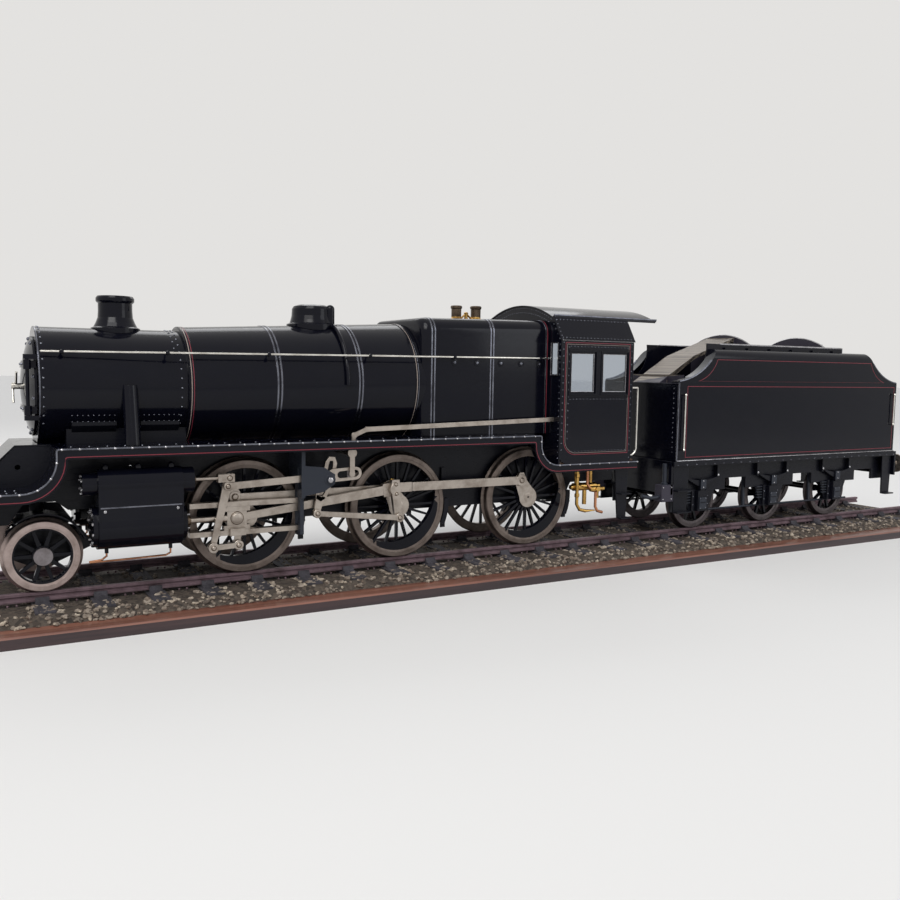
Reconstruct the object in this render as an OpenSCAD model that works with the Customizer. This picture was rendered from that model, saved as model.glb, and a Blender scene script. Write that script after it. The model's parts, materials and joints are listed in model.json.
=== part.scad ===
// Model steam locomotive and six-wheel tender on a length of ballasted display track.
// X runs along the track with the chimney end towards -X, Z is up, and the origin
// is the middle of the display board's underside. All sizes are in millimetres.

/* [Track and display board] */
// Distance between the rails' inner faces
gauge = 88.9; // [86:0.1:92]
// Length of the display board
board_l = 1312; // [1290:1:1500]
// Width of the display board
board_w = 228; // [200:1:320]
// Thickness of the display board
board_t = 10; // [6:0.5:20]
// Width of the ballast along its top
ballast_w = 168; // [166:1:190]
// Thickness of a sleeper
sleeper_t = 8; // [5:0.5:12]
// Length of a sleeper across the track
sleeper_l = 160; // [140:1:164]
// Width of a sleeper along the track
sleeper_w = 16; // [12:0.5:20]
// Distance from one sleeper to the next
sleeper_pitch = 46; // [36:1:60]
// Height of a rail above its chair's seat
rail_h = 8; // [6:0.5:10]
// Width of the rail's head
rail_head_w = 4.6; // [3.5:0.1:6]

/* [Wheels] */
// Tread radius of a driving wheel
driver_r = 52.4; // [48:0.1:55]
// Tread radius of a pony wheel
pony_r = 29.8; // [26:0.1:32]
// Tread radius of a tender wheel
tender_r = 35; // [30:0.1:37]
// Distance between two driving axles
driver_pitch = 157.2; // [150:0.1:165]
// Distance from the pony axle to the first driving axle
pony_lead = 171.5; // [165:0.1:178]
// Distance from the last driving axle to the first tender axle
tender_lead = 247; // [240:0.5:256]
// Distance between two tender axles
tender_pitch = 123.8; // [118:0.1:128]
// Width of a tyre
tyre_w = 9.5; // [8:0.1:11]
// Depth of the flange below the tread
flange_h = 2.4; // [1.5:0.1:3]

/* [Motion] */
// Crank throw of the driving wheels
throw = 22.2; // [16:0.1:24]
// Crank angle on the photographed side, from straight back and turning up
crank_angle = 120; // [95:1:140]
// Length of the connecting rod between its pins
con_rod_l = 158.7; // [150:0.1:166]
// Height of the cylinder centre line above the rails
cyl_z = 53.5; // [50:0.1:57]
// Height of the valve spindle above the cylinder centre line
valve_rise = 37.5; // [36:0.1:42]
// Radius of the return crank's pin about the axle
return_r = 11.8; // [9:0.1:14]
// Angle from the main crank to the return crank
return_lead = 108; // [100:1:116]
// Length of the eccentric rod between its pins
ecc_rod_l = 86.6; // [82:0.1:90]
// Distance from the expansion link's pivot to its foot pin
link_foot = 33.8; // [30:0.1:36]
// How far the die block stands above the link's pivot
die_rise = 3.5; // [0:0.1:9]
// Length of the combination lever
lever_l = 63.8; // [61:0.1:66]
// Length of the union link
union_l = 22.6; // [20:0.1:25]

/* [Boiler] */
// Height of the smokebox centre above the rails
boiler_z = 170.5; // [166:0.1:176]
// Outer radius of the smokebox
smokebox_r = 51.5; // [47:0.1:54]
// Length of the smokebox
smokebox_l = 130; // [120:0.5:136]
// Wall of the smokebox
smokebox_wall = 2; // [1.2:0.1:4]
// Radius of the barrel's cladding at the smokebox
barrel_front_r = 55.5; // [52:0.1:58]
// Radius of the barrel's cladding at the firebox
barrel_back_r = 61.5; // [58:0.1:63]
// Top of the firebox above the rails
firebox_top = 245; // [242:0.5:252]
// Width of the firebox at the barrel
firebox_front_w = 123; // [118:0.5:130]
// Width of the firebox at the cab
firebox_back_w = 117; // [108:0.5:122]
// Height of the chimney's lip above the rails
chimney_top = 251; // [244:0.5:260]
// Radius of the smokebox door
door_r = 43; // [38:0.5:46]

/* [Cab and running boards] */
// Overall width of the cab
cab_w = 162; // [156:0.5:168]
// Length of the cab's side sheet
cab_l = 99; // [90:0.5:110]
// Top of the cab roof above the rails
roof_top = 263.5; // [256:0.5:270]
// Height where the side sheet meets the sloping roof panel
eaves_z = 223.5; // [216:0.5:230]
// Top of the running board above the rails
board_z = 122.5; // [121:0.1:126]
// Overall width of the running boards
boards_w = 162; // [158:0.5:168]
// Depth of the valance below the running board
valance_h = 9; // [6:0.1:11]
// Thickness of platework
plate = 1.6; // [1:0.1:2.4]

/* [Tender] */
// Overall width of the tender tank
tank_w = 136; // [130:0.5:144]
// Length of the tender tank
tank_l = 408; // [396:0.5:412]
// Top of the tender's running plate above the rails
tender_floor_z = 85.5; // [83:0.1:90]
// Top of the tender's side sheets above the rails
tender_side_z = 220; // [212:0.5:228]
// Height of the side sheets at the tank's ends
tender_end_z = 180; // [172:0.5:190]
// Top of the inner coal plates above the rails
coal_plate_z = 226.5; // [222:0.5:232]
// Top of the arched coal bulkheads above the rails
arch_z = 240.5; // [234:0.5:246]

/* [Smokebox door] */
// Angle of the smokebox door, 0 when it is shut
door_angle = 0; // [0:1:110]

/* [Hidden] */
$fn = 64;

// Colours as the photograph shows them
black = "#15161c";
steel = "#a89f92";
iron = "#5a524c";
brass = "#b08a4a";

// Heights and places along the track
rail_top = board_t + sleeper_t + 2 + rail_h;
tread_gap = 0.2;
axle_1 = 0;
axle_2 = driver_pitch;
axle_3 = 2 * driver_pitch;
pony_x = -pony_lead;
tender_1 = axle_3 + tender_lead;
tender_2 = tender_1 + tender_pitch;
tender_3 = tender_2 + tender_pitch;
layout_front = -300;
layout_mid = layout_front + board_l / 2;
driver_z = driver_r + tread_gap;
pony_z = pony_r + tread_gap;
tender_z = tender_r + tread_gap;

// Widths across the wheels and rods, from the middle of the track outwards
flange_w = 2.2;
back_y = gauge / 2 - 0.6 - flange_w;
face_y = back_y + tyre_w;
frame_t = 3;
frame_y = back_y - 4;
coupling_t = 3.6;
coupling_y = face_y + 1.2 + coupling_t / 2;
con_t = 5;
con_y = coupling_y + coupling_t / 2 + 2 + con_t / 2;
link_t = 2.6;
inner_y = con_y + 6.3;
outer_y = inner_y + link_t + 0.4;
pin_fit = 0.05;
pin_r = 2.2;
small_pin_r = 1.3;

// Places of the larger pieces along the engine
smokebox_x = -171.5;
barrel_x = smokebox_x + smokebox_l + 2;
firebox_x = 196;
cab_x = 333;
cab_back = cab_x + cab_l;
barrel_front_z = boiler_z;
barrel_back_z = boiler_z - barrel_front_r + barrel_back_r;
low_board_z = 87.5;
cab_board_z = 90.5;
beam_x = -218;
board_bend = 26;
board_front_x = -163;
board_back_x = cab_x - 22;
engine_back_x = 443;
buffer_z = 66;
buffer_y = 54.4;
cylinder_front = -131;
cylinder_back = -62;
cover_t = 4;
valve_front = -143;
valve_back = -52;
cylinder_r = 19;
chest_r = 12.4;
shaft_x = 97;
shaft_z = 110;
shaft_r = 3;
reach_y = 70;
deck_x = 508;
tank_x = 515;
tank_back = tank_x + tank_l;

// A piece drawn in the engine's own frame, set on the track
module on_track() { translate([-layout_mid, 0, rail_top]) children(); }
module both_sides() { children(); mirror([0, 1, 0]) children(); }
// A flat outline in X and Z, stretched between two places across the track
module across(y0, y1) { translate([0, y1, 0]) rotate([90, 0, 0]) linear_extrude(y1 - y0) children(); }
// A flat outline in Y and Z, stretched between two places along the track
module along(x0, x1) { translate([x0, 0, 0]) rotate([90, 0, 90]) linear_extrude(x1 - x0) children(); }
module rod_x(x0, x1, y, z, r) { translate([x0, y, z]) rotate([0, 90, 0]) cylinder(h = x1 - x0, r = r); }
module rod_y(y0, y1, x, z, r) { translate([x, y1, z]) rotate([90, 0, 0]) cylinder(h = y1 - y0, r = r); }
module rod_z(z0, z1, x, y, r) { translate([x, y, z0]) cylinder(h = z1 - z0, r = r); }
module block(x, y, z) { translate([x[0], y[0], z[0]]) cube([x[1] - x[0], y[1] - y[0], z[1] - z[0]]); }

// Track

module display_board() {
    chamfer = 1.5;
    color("#6b3a2e")
    translate([-board_l / 2, 0, 0])
    along(0, board_l)
    polygon([
        [-board_w / 2, 0], [board_w / 2, 0],
        [board_w / 2, board_t - chamfer], [board_w / 2 - chamfer, board_t],
        [-board_w / 2 + chamfer, board_t], [-board_w / 2, board_t - chamfer]
    ]);
}

sleeper_margin = 30;
sleeper_count = floor((board_l - 2 * sleeper_margin) / sleeper_pitch) + 1;
function sleeper_x(i) = (i - (sleeper_count - 1) / 2) * sleeper_pitch;

module sleepers() {
    color("#3b3a3e")
    for (i = [0 : sleeper_count - 1])
    translate([sleeper_x(i), 0, board_t]) {
        translate([-sleeper_w / 2, -sleeper_l / 2, 0]) cube([sleeper_w, sleeper_l, sleeper_t]);
        both_sides() rail_chair();
    }
}

// A cast chair: a seat with two jaws that grip the rail's web
module rail_chair() {
    seat_l = 11;
    seat_t = 2;
    jaw_h = 3.5;
    rail_y = gauge / 2 + rail_head_w / 2;
    translate([0, rail_y, sleeper_t])
    along(-seat_l / 2, seat_l / 2)
    polygon([
        [-9, 0], [9, 0], [9, 1], [5, seat_t], [3.6, seat_t + jaw_h], [rail_head_w / 2, seat_t + jaw_h],
        [rail_head_w / 2, seat_t], [-rail_head_w / 2, seat_t],
        [-rail_head_w / 2, seat_t + jaw_h], [-3.6, seat_t + jaw_h], [-5, seat_t], [-9, 1]
    ]);
}

module ballast_bed() {
    slope = 8;
    depth = sleeper_t - 1.5;
    slot = 0.05;
    bed_l = board_l - 12;
    color("#9a9088")
    difference() {
        translate([-bed_l / 2, 0, board_t])
        along(0, bed_l)
        polygon([
            [-ballast_w / 2 - slope, 0], [ballast_w / 2 + slope, 0],
            [ballast_w / 2, depth], [-ballast_w / 2, depth]
        ]);
        for (i = [0 : sleeper_count - 1])
        translate([sleeper_x(i) - sleeper_w / 2 - slot, -sleeper_l / 2 - slot, board_t - 1])
        cube([sleeper_w + 2 * slot, sleeper_l + 2 * slot, depth + 2]);
    }
}

// Bullhead rail: a head and a foot joined by a thin web
module rails() {
    web = 1.6;
    head_h = 2.8;
    rail_l = board_l - 8;
    rail_y = gauge / 2 + rail_head_w / 2;
    color("#6d5450")
    both_sides()
    translate([-rail_l / 2, rail_y, rail_top - rail_h])
    along(0, rail_l)
    polygon([
        [-rail_head_w / 2, 0], [rail_head_w / 2, 0], [rail_head_w / 2, 1.6], [web / 2, 2.8],
        [web / 2, rail_h - head_h - 0.8], [rail_head_w / 2, rail_h - head_h],
        [rail_head_w / 2, rail_h - 0.4], [rail_head_w / 2 - 0.4, rail_h],
        [0.4 - rail_head_w / 2, rail_h], [-rail_head_w / 2, rail_h - 0.4],
        [-rail_head_w / 2, rail_h - head_h], [-web / 2, rail_h - head_h - 0.8],
        [-web / 2, 2.8], [-rail_head_w / 2, 1.6]
    ]);
}

// Wheels, each drawn with its outer face towards +Y and its axle along Y

module tyre(r) {
    tread = r - 2 * flange_h;
    rotate([-90, 0, 0])
    rotate_extrude($fn = 96)
    polygon([
        [tread, back_y], [r + flange_h - 0.8, back_y], [r + flange_h, back_y + 0.9],
        [r + 0.6, back_y + flange_w], [r, back_y + flange_w + 0.6],
        [r, face_y - 0.8], [r - 0.8, face_y], [tread, face_y]
    ]);
}

// Flat outline of a ring of straight spokes that widen towards the hub
function spoke_star(n, r_in, r_out, w_in, w_out) = [
    for (i = [0 : n - 1], k = [0 : 3])
    let (
        a = i * 360 / n,
        r = (k == 0 || k == 3) ? r_in : r_out,
        w = (k < 2 ? -1 : 1) * ((k == 0 || k == 3) ? w_in : w_out) / 2
    )
    [r * cos(a) - w * sin(a), r * sin(a) + w * cos(a)]
];

module wheel_disc(r, spokes, hub_r, spoke_in, spoke_out) {
    rim = r - 2 * flange_h;
    rim_w = 3;
    mid_y = (back_y + face_y) / 2;
    rotate([-90, 0, 0])
    rotate_extrude($fn = 96)
    polygon([[rim - rim_w, back_y + 1], [rim, back_y + 1], [rim, face_y - 0.6], [rim - rim_w, face_y - 1.2]]);
    across(mid_y - 1.6, mid_y + 1.6) polygon(spoke_star(spokes, hub_r - 1, rim - rim_w / 2, spoke_in, spoke_out));
    rod_y(back_y, face_y - 1, 0, 0, hub_r);
}

module axle(x, z, r) { rod_y(-back_y - 1, back_y + 1, x, z, r); }

driver_rim = driver_r - 2 * flange_h - 3;
crank_pin_l = con_y + con_t / 2 + 0.3;

// Crescent weight cast between the spokes, opposite the crank
module balance_weight(a) {
    rotate([0, -a, 0])
    across(back_y + 2, face_y - 1)
    difference() {
        circle(r = driver_rim + 1);
        translate([16, 0]) circle(r = driver_rim + 6);
    }
}

// One driving wheel with its crank boss, at a crank angle a
module driving_wheel(a, pin_end) {
    hub_r = 10.4;
    boss_r = 7;
    color(black) wheel_disc(driver_r, 20, hub_r, 2.8, 2.2);
    color(black) balance_weight(a);
    color(steel) rotate([0, -a, 0]) across(back_y + 2.6, face_y + 1) crank_boss(hub_r + 0.8, boss_r);
    color(steel) rotate([0, -a, 0]) rod_y(face_y, pin_end, throw, 0, pin_r);
    color(iron) tyre(driver_r);
}

// Waisted outline round the axle and the crank pin
module crank_boss(hub_r, boss_r) {
    circle(r = hub_r);
    translate([throw, 0]) circle(r = boss_r);
    polygon([[0, 0.4 - hub_r], [throw, 0.4 - boss_r], [throw, boss_r - 0.4], [0, hub_r - 0.4]]);
}

axle_r = 5;
module driving_wheels() {
    on_track()
    for (k = [0 : 2]) {
        pin_end = (k == 1) ? crank_pin_l : coupling_y + coupling_t / 2 + 0.3;
        translate([k * driver_pitch, 0, driver_z]) {
            mirror([0, 1, 0]) driving_wheel(crank_angle, pin_end);
            driving_wheel(crank_angle + 90, pin_end);
            color(iron) axle(0, 0, axle_r);
        }
    }
}

small_axle_r = 4;
journal_end = face_y + 14;
module pony_wheels() {
    on_track()
    translate([pony_x, 0, pony_z]) {
        both_sides() {
            color(black) wheel_disc(pony_r, 10, 8.5, 3.6, 2.6);
            color(steel) rod_y(face_y - 2, face_y + 1.5, 0, 0, 7.5);
            color(steel) tyre(pony_r);
        }
        color(iron) axle(0, 0, small_axle_r);
    }
}

module tender_wheelset(x) {
    on_track()
    translate([x, 0, tender_z]) {
        both_sides() {
            color(black) wheel_disc(tender_r, 10, 8.5, 3.8, 2.8);
            color(iron) tyre(tender_r);
        }
        color(iron) rod_y(-journal_end, journal_end, 0, 0, small_axle_r);
    }
}
module tender_wheels_front() { tender_wheelset(tender_1); }
module tender_wheels_middle() { tender_wheelset(tender_2); }
module tender_wheels_rear() { tender_wheelset(tender_3); }

// Where the motion stands at a crank angle, worked out in X and Z

function crank_pin(a) = [axle_2 + throw * cos(a), driver_z + throw * sin(a)];
function cross_x(a) = crank_pin(a)[0] - sqrt(pow(con_rod_l, 2) - pow(crank_pin(a)[1] - cyl_z, 2));
function return_pin(a) = [
    axle_2 + return_r * cos(a + return_lead), driver_z + return_r * sin(a + return_lead)
];
// The lower point at distance rp from p and rq from q, with q to the right of p
function meet(p, rp, q, rq) =
    let (
        d = norm(q - p),
        u = (q - p) / d,
        s = (rp * rp - rq * rq + d * d) / (2 * d),
        h = sqrt(rp * rp - s * s)
    )
    p + s * u + h * [u[1], -u[0]];
link_pivot = [74, 85.5];
link_half = 15;
function foot_pin(a) = meet(link_pivot, link_foot, return_pin(a), ecc_rod_l);
function link_up(a) = (link_pivot - foot_pin(a)) / link_foot;
function die_pin(a) = link_pivot + die_rise * link_up(a);
valve_z = cyl_z + valve_rise;
radius_rod_l = 96.6;
radius_drop = 7.5;
union_drop = 23.5;
function drop_pin(a) = [cross_x(a) - 0.5, cyl_z - union_drop];
// The lever's lean is found by turns from the radius rod and the union link
function lever_top(a, lean) =
    let (z = valve_z - radius_drop * cos(lean), dz = die_pin(a)[1] - z)
    [die_pin(a)[0] - sqrt(pow(radius_rod_l, 2) - dz * dz) + radius_drop * sin(lean), valve_z];
function lever_lean(a, turns = 8) =
    turns == 0 ? 13 :
    let (
        old = lever_lean(a, turns - 1),
        top = lever_top(a, old),
        foot_z = top[1] - lever_l * cos(old),
        dz = drop_pin(a)[1] - foot_z,
        foot_x = drop_pin(a)[0] - sqrt(pow(union_l, 2) - dz * dz)
    )
    asin(min(0.9, max(-0.9, (top[0] - foot_x) / lever_l)));
function on_lever(a, s) = let (lean = lever_lean(a)) lever_top(a, lean) - s * [sin(lean), cos(lean)];

// A flat rod between two pins in X and Z, with an eye at each end
module eye_rod(p, q, y, t, w, rp, rq, bore_p = 0, bore_q = 0) {
    l = norm(q - p);
    translate([p[0], y + t / 2, p[1]])
    rotate([90, 0, 0])
    rotate(atan2(q[1] - p[1], q[0] - p[0]))
    linear_extrude(t)
    difference() {
        union() {
            circle(r = rp);
            translate([l, 0]) circle(r = rq);
            translate([0, -w / 2]) square([l, w]);
        }
        if (bore_p > 0) circle(r = bore_p);
        if (bore_q > 0) translate([l, 0]) circle(r = bore_q);
    }
}

// The near side carries the crank at crank_angle and the far side leads it by a quarter turn
module motion_side(far) {
    mirror([0, far ? 0 : 1, 0]) children();
}
function side_angle(far) = crank_angle + (far ? 90 : 0);

module coupling_rods() {
    color(steel) on_track()
    for (far = [false, true]) {
        a = side_angle(far);
        reach = [throw * cos(a), driver_z + throw * sin(a)];
        motion_side(far) {
            eye_rod(reach, reach + [driver_pitch, 0], coupling_y, coupling_t, 6.6, 5.4, 6.4,
                pin_r + pin_fit, pin_r + pin_fit);
            knuckle = reach + [driver_pitch + 15, 0];
            difference() {
                union() {
                    eye_rod(knuckle, reach + [2 * driver_pitch, 0], coupling_y, coupling_t, 6.6, 4.2, 5.4,
                        0, pin_r + pin_fit);
                    block([reach[0] + driver_pitch, knuckle[0]],
                        [coupling_y - coupling_t / 2, coupling_y + coupling_t / 2],
                        [reach[1] - 3.6, reach[1] + 3.6]);
                }
                rod_y(coupling_y - coupling_t, coupling_y + coupling_t, reach[0] + driver_pitch, reach[1], 6);
            }
        }
    }
}

module connecting_rods() {
    color(steel) on_track()
    for (far = [false, true]) {
        a = side_angle(far);
        motion_side(far)
        eye_rod([cross_x(a), cyl_z], crank_pin(a), con_y, con_t, 7, 5, 7, pin_r + pin_fit, pin_r + pin_fit);
    }
}

bar_w = 8;
bar_t = 3.4;
bar_gap = 13.6;
bar_x0 = cylinder_back + cover_t;
bar_x1 = 46;
module slide_bars() {
    color(steel) on_track()
    both_sides()
    for (s = [-1, 1])
    block([bar_x0, bar_x1], [con_y - bar_w / 2, con_y + bar_w / 2],
        [cyl_z + s * bar_gap - bar_t / 2, cyl_z + s * bar_gap + bar_t / 2]);
}

slipper_t = 3;
head_l = 17;
module crossheads() {
    slot = con_t + 0.4;
    half = bar_gap - bar_t / 2 - 0.1;
    color(steel) on_track()
    for (far = [false, true]) {
        x = cross_x(side_angle(far));
        motion_side(far)
        difference() {
            union() {
                for (s = [-1, 1])
                block([x - 13, x + 10], [con_y - bar_w / 2, con_y + bar_w / 2],
                    [cyl_z + s * half - (s > 0 ? slipper_t : 0), cyl_z + s * half + (s > 0 ? 0 : slipper_t)]);
                block([x - head_l / 2, x + head_l / 2], [con_y - bar_w / 2, con_y + bar_w / 2],
                    [cyl_z - half, cyl_z + half]);
                rod_x(x - 15, x, con_y, cyl_z, 4);
                rod_y(con_y - bar_w / 2, con_y + bar_w / 2 + 1, x, cyl_z, 4.4);
            }
            block([x - 6, x + head_l], [con_y - slot / 2, con_y + slot / 2], [cyl_z - 9, cyl_z + 9]);
        }
        motion_side(far) rod_y(con_y - slot / 2 - 0.5, con_y + slot / 2 + 0.5, x, cyl_z, pin_r);
        motion_side(far) drop_arm(x, drop_pin(side_angle(far)));
    }
}
// The arm that carries the union link, outside the lower slide bar
module drop_arm(x, foot) {
    across(con_y + bar_w / 2, inner_y + link_t / 2)
    difference() {
        union() {
            polygon([[x - 4.5, cyl_z], [x + 4.5, cyl_z], [foot[0] + 2.4, foot[1]], [foot[0] - 2.4, foot[1]]]);
            translate(foot) circle(r = 3.4);
        }
        translate(foot) circle(r = small_pin_r + pin_fit);
    }
}

// Motion fixed to the side rods

module piston_rods() {
    rod_r = 2.6;
    valve_r = 1.7;
    cheek = 2.4;
    color(steel) on_track()
    for (far = [false, true]) {
        a = side_angle(far);
        top = on_lever(a, 0);
        motion_side(far) {
            rod_x(cylinder_back + cover_t + 0.1, cross_x(a) - 15, con_y, cyl_z, rod_r);
            rod_x(valve_back + 0.1, top[0] - 5, inner_y, valve_z, valve_r);
            for (s = [-1, 1])
            block([top[0] - 7, top[0] + 3], [inner_y + s * (link_t / 2 + 0.2) + (s > 0 ? 0 : -cheek),
                inner_y + s * (link_t / 2 + 0.2) + (s > 0 ? cheek : 0)], [valve_z - 3.2, valve_z + 3.2]);
            block([top[0] - 9, top[0] - 5], [inner_y - 4, inner_y + 4], [valve_z - 3.2, valve_z + 3.2]);
            rod_y(inner_y - 3, inner_y + 4.6, top[0], valve_z, small_pin_r);
        }
    }
}

module return_cranks() {
    y0 = con_y + con_t / 2 + 0.6;
    y1 = inner_y + link_t / 2;
    color(steel) on_track()
    for (far = [false, true]) {
        a = side_angle(far);
        motion_side(far) {
            eye_rod(crank_pin(a), return_pin(a), (y0 + y1) / 2, y1 - y0, 7.4, 5.2, 4);
            rod_y(y1 - 0.5, outer_y + link_t / 2 + 0.6, return_pin(a)[0], return_pin(a)[1], small_pin_r);
        }
    }
}

module eccentric_rods() {
    color(steel) on_track()
    for (far = [false, true]) {
        a = side_angle(far);
        motion_side(far)
        eye_rod(foot_pin(a), return_pin(a), outer_y, link_t, 4.2, 3.6, 3.8,
            small_pin_r + pin_fit, small_pin_r + pin_fit);
    }
}

// Curved slotted link with its foot arm, hung on a trunnion boss
module expansion_links() {
    link_w = 9.6;
    slot_w = 4;
    wall = 4;
    color(steel) on_track()
    for (far = [false, true]) {
        a = side_angle(far);
        up = link_up(a);
        foot = foot_pin(a);
        motion_side(far) {
            translate([link_pivot[0], inner_y + link_t / 2, link_pivot[1]])
            rotate([90, 0, 0])
            rotate(atan2(up[1], up[0]) - 90)
            linear_extrude(link_t)
            difference() {
                union() {
                    link_arc(link_w, link_half);
                    polygon([[-link_w / 2, 2 - link_half], [link_w / 2, 2 - link_half], [2.6, -link_foot], [-2.6, -link_foot]]);
                    translate([0, -link_foot]) circle(r = 3.6);
                }
                link_arc(slot_w, link_half - wall);
                translate([0, -link_foot]) circle(r = small_pin_r + pin_fit);
            }
            rod_y(inner_y - link_t / 2 - 1.2, inner_y - link_t / 2, link_pivot[0], link_pivot[1], 4);
            rod_y(foot_inner(), outer_y + link_t / 2 + 0.6, foot[0], foot[1], small_pin_r);
        }
    }
}
function foot_inner() = inner_y - link_t / 2 - 0.6;
module link_arc(w, half) {
    intersection() {
        translate([-radius_rod_l, 0])
        difference() {
            circle(r = radius_rod_l + w / 2, $fn = 180);
            circle(r = radius_rod_l - w / 2, $fn = 180);
        }
        translate([-w, -half]) square([2 * w, 2 * half]);
    }
}

// The radius rod runs from the lever through the die block to a slotted tail
module radius_rods() {
    tail_0 = 5;
    tail_1 = 30;
    tail_w = 8;
    slot_w = 3.2;
    die_r = 1.9;
    color(steel) on_track()
    for (far = [false, true]) {
        a = side_angle(far);
        p = on_lever(a, radius_drop);
        q = die_pin(a);
        motion_side(far) {
            translate([p[0], outer_y + link_t / 2, p[1]])
            rotate([90, 0, 0])
            rotate(atan2(q[1] - p[1], q[0] - p[0]))
            linear_extrude(link_t)
            difference() {
                union() {
                    circle(r = 3.2);
                    translate([0, -2.4]) square([radius_rod_l, 4.8]);
                    translate([radius_rod_l, 0]) circle(r = 4.2);
                    translate([radius_rod_l, -tail_w / 2]) square([tail_1, tail_w]);
                    translate([radius_rod_l + tail_1, 0]) circle(r = tail_w / 2);
                }
                translate([radius_rod_l + tail_0, -slot_w / 2]) square([tail_1 - tail_0, slot_w]);
            }
            rod_y(inner_y - link_t / 2 - 0.4, outer_y, p[0], p[1], small_pin_r);
            rod_y(inner_y - link_t / 2 + 0.1, outer_y, q[0], q[1], die_r);
        }
    }
}

module combination_levers() {
    w_top = 6.4;
    w_foot = 3.8;
    color(steel) on_track()
    for (far = [false, true]) {
        a = side_angle(far);
        top = on_lever(a, 0);
        motion_side(far)
        translate([top[0], inner_y + link_t / 2, top[1]])
        rotate([90, 0, 0])
        rotate(-lever_lean(a))
        linear_extrude(link_t)
        difference() {
            union() {
                circle(r = 3);
                polygon([[-w_top / 2, 0], [w_top / 2, 0], [w_foot / 2, -lever_l], [-w_foot / 2, -lever_l]]);
                translate([0, -lever_l]) circle(r = 3.4);
            }
            circle(r = small_pin_r + pin_fit);
            translate([0, -radius_drop]) circle(r = small_pin_r + pin_fit);
            translate([0, -lever_l]) circle(r = small_pin_r + pin_fit);
        }
    }
}

module union_links() {
    color(steel) on_track()
    for (far = [false, true]) {
        a = side_angle(far);
        foot = on_lever(a, lever_l);
        drop = drop_pin(a);
        motion_side(far) {
            eye_rod(foot, drop, outer_y, link_t, 3.6, 3.6, 3.4);
            for (p = [foot, drop]) rod_y(inner_y - link_t / 2 - 0.4, outer_y, p[0], p[1], small_pin_r);
        }
    }
}

// A hanging plate behind each leading driving wheel, with windows for the rods
module motion_brackets() {
    x0 = bar_x1;
    x1 = bar_x1 + 3.6;
    side_y = outer_y + link_t / 2 + 1.6;
    side_t = 2;
    hang_y = con_y - bar_w / 2;
    bottom = cyl_z - bar_gap - 5;
    under = board_z - plate - 0.1;
    arm_z = 86;
    px = link_pivot[0];
    pz = link_pivot[1];
    color(black) on_track()
    both_sides() {
        difference() {
            union() {
                block([x0, x1], [hang_y, side_y + side_t], [bottom, under]);
                block([x0, x1], [frame_y + 0.1, hang_y + 1], [arm_z, under]);
            }
            block([x0 - 1, x1 + 1], [con_y - con_t / 2 - 1, con_y + con_t / 2 + 1],
                [cyl_z - bar_gap + 4, cyl_z + bar_gap + 8]);
            block([x0 - 1, x1 + 1], [inner_y - link_t, side_y - 0.3], [valve_z - 14, valve_z + 6]);
            block([x0 - 1, x1 + 1], [side_y - 2, side_y + side_t + 1], [bottom - 1, pz - 16]);
        }
        across(side_y, side_y + side_t)
        polygon([
            [x1, pz + 14], [px - 6, pz + 12], [px + 5, pz + 5], [px + 5, pz - 4], [px - 6, pz - 11], [x1, pz - 14]
        ]);
        across(inner_y - link_t / 2 - 3.4, inner_y - link_t / 2 - 1.3)
        polygon([[x1, pz + 8], [px, pz + 5], [px + 4, pz], [px, pz - 5], [x1, pz - 8]]);
        rod_y(outer_y + link_t / 2 + 0.3, side_y + side_t + 2, px, pz, 3.4);
    }
}

module reversing_gear() {
    reach = [[shaft_x + 3, 126.5], [shaft_x + 16, 132], [cab_x - 0.1, 138.5]];
    reach_w = 4.6;
    reach_t = 2;
    arm_y = outer_y + link_t / 2 + 1.5;
    color(steel) on_track() {
        rod_y(-reach_y - 3, reach_y + 3, shaft_x, shaft_z, shaft_r);
        for (far = [false, true])
        motion_side(far) {
            q = on_lever(side_angle(far), radius_drop);
            d = die_pin(side_angle(far));
            run = (shaft_x - d[0]) / (d[0] - q[0]);
            tail = d + run * (d - q);
            eye_rod([shaft_x, shaft_z], tail, arm_y, 2.2, 5, 4.6, 3);
            rod_y(outer_y - link_t / 2, arm_y, tail[0], tail[1], 1.5);
        }
        mirror([0, 1, 0]) {
            eye_rod([shaft_x, shaft_z], reach[0], reach_y, reach_t, reach_w - 1, shaft_r + 1.4, reach_w / 2 + 0.6);
            eye_rod(reach[0], reach[1], reach_y, reach_t, reach_w - 0.4, 1, reach_w / 2 + 0.3);
            across(reach_y - reach_t / 2, reach_y + reach_t / 2)
            polygon([
                reach[1] - [0, reach_w / 2], reach[1] + [0, reach_w / 2],
                reach[2] + [0, reach_w / 2], reach[2] - [0, reach_w / 2]
            ]);
        }
    }
}

// Cylinders: a bore and a valve chest in one wrapper on each side

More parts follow.
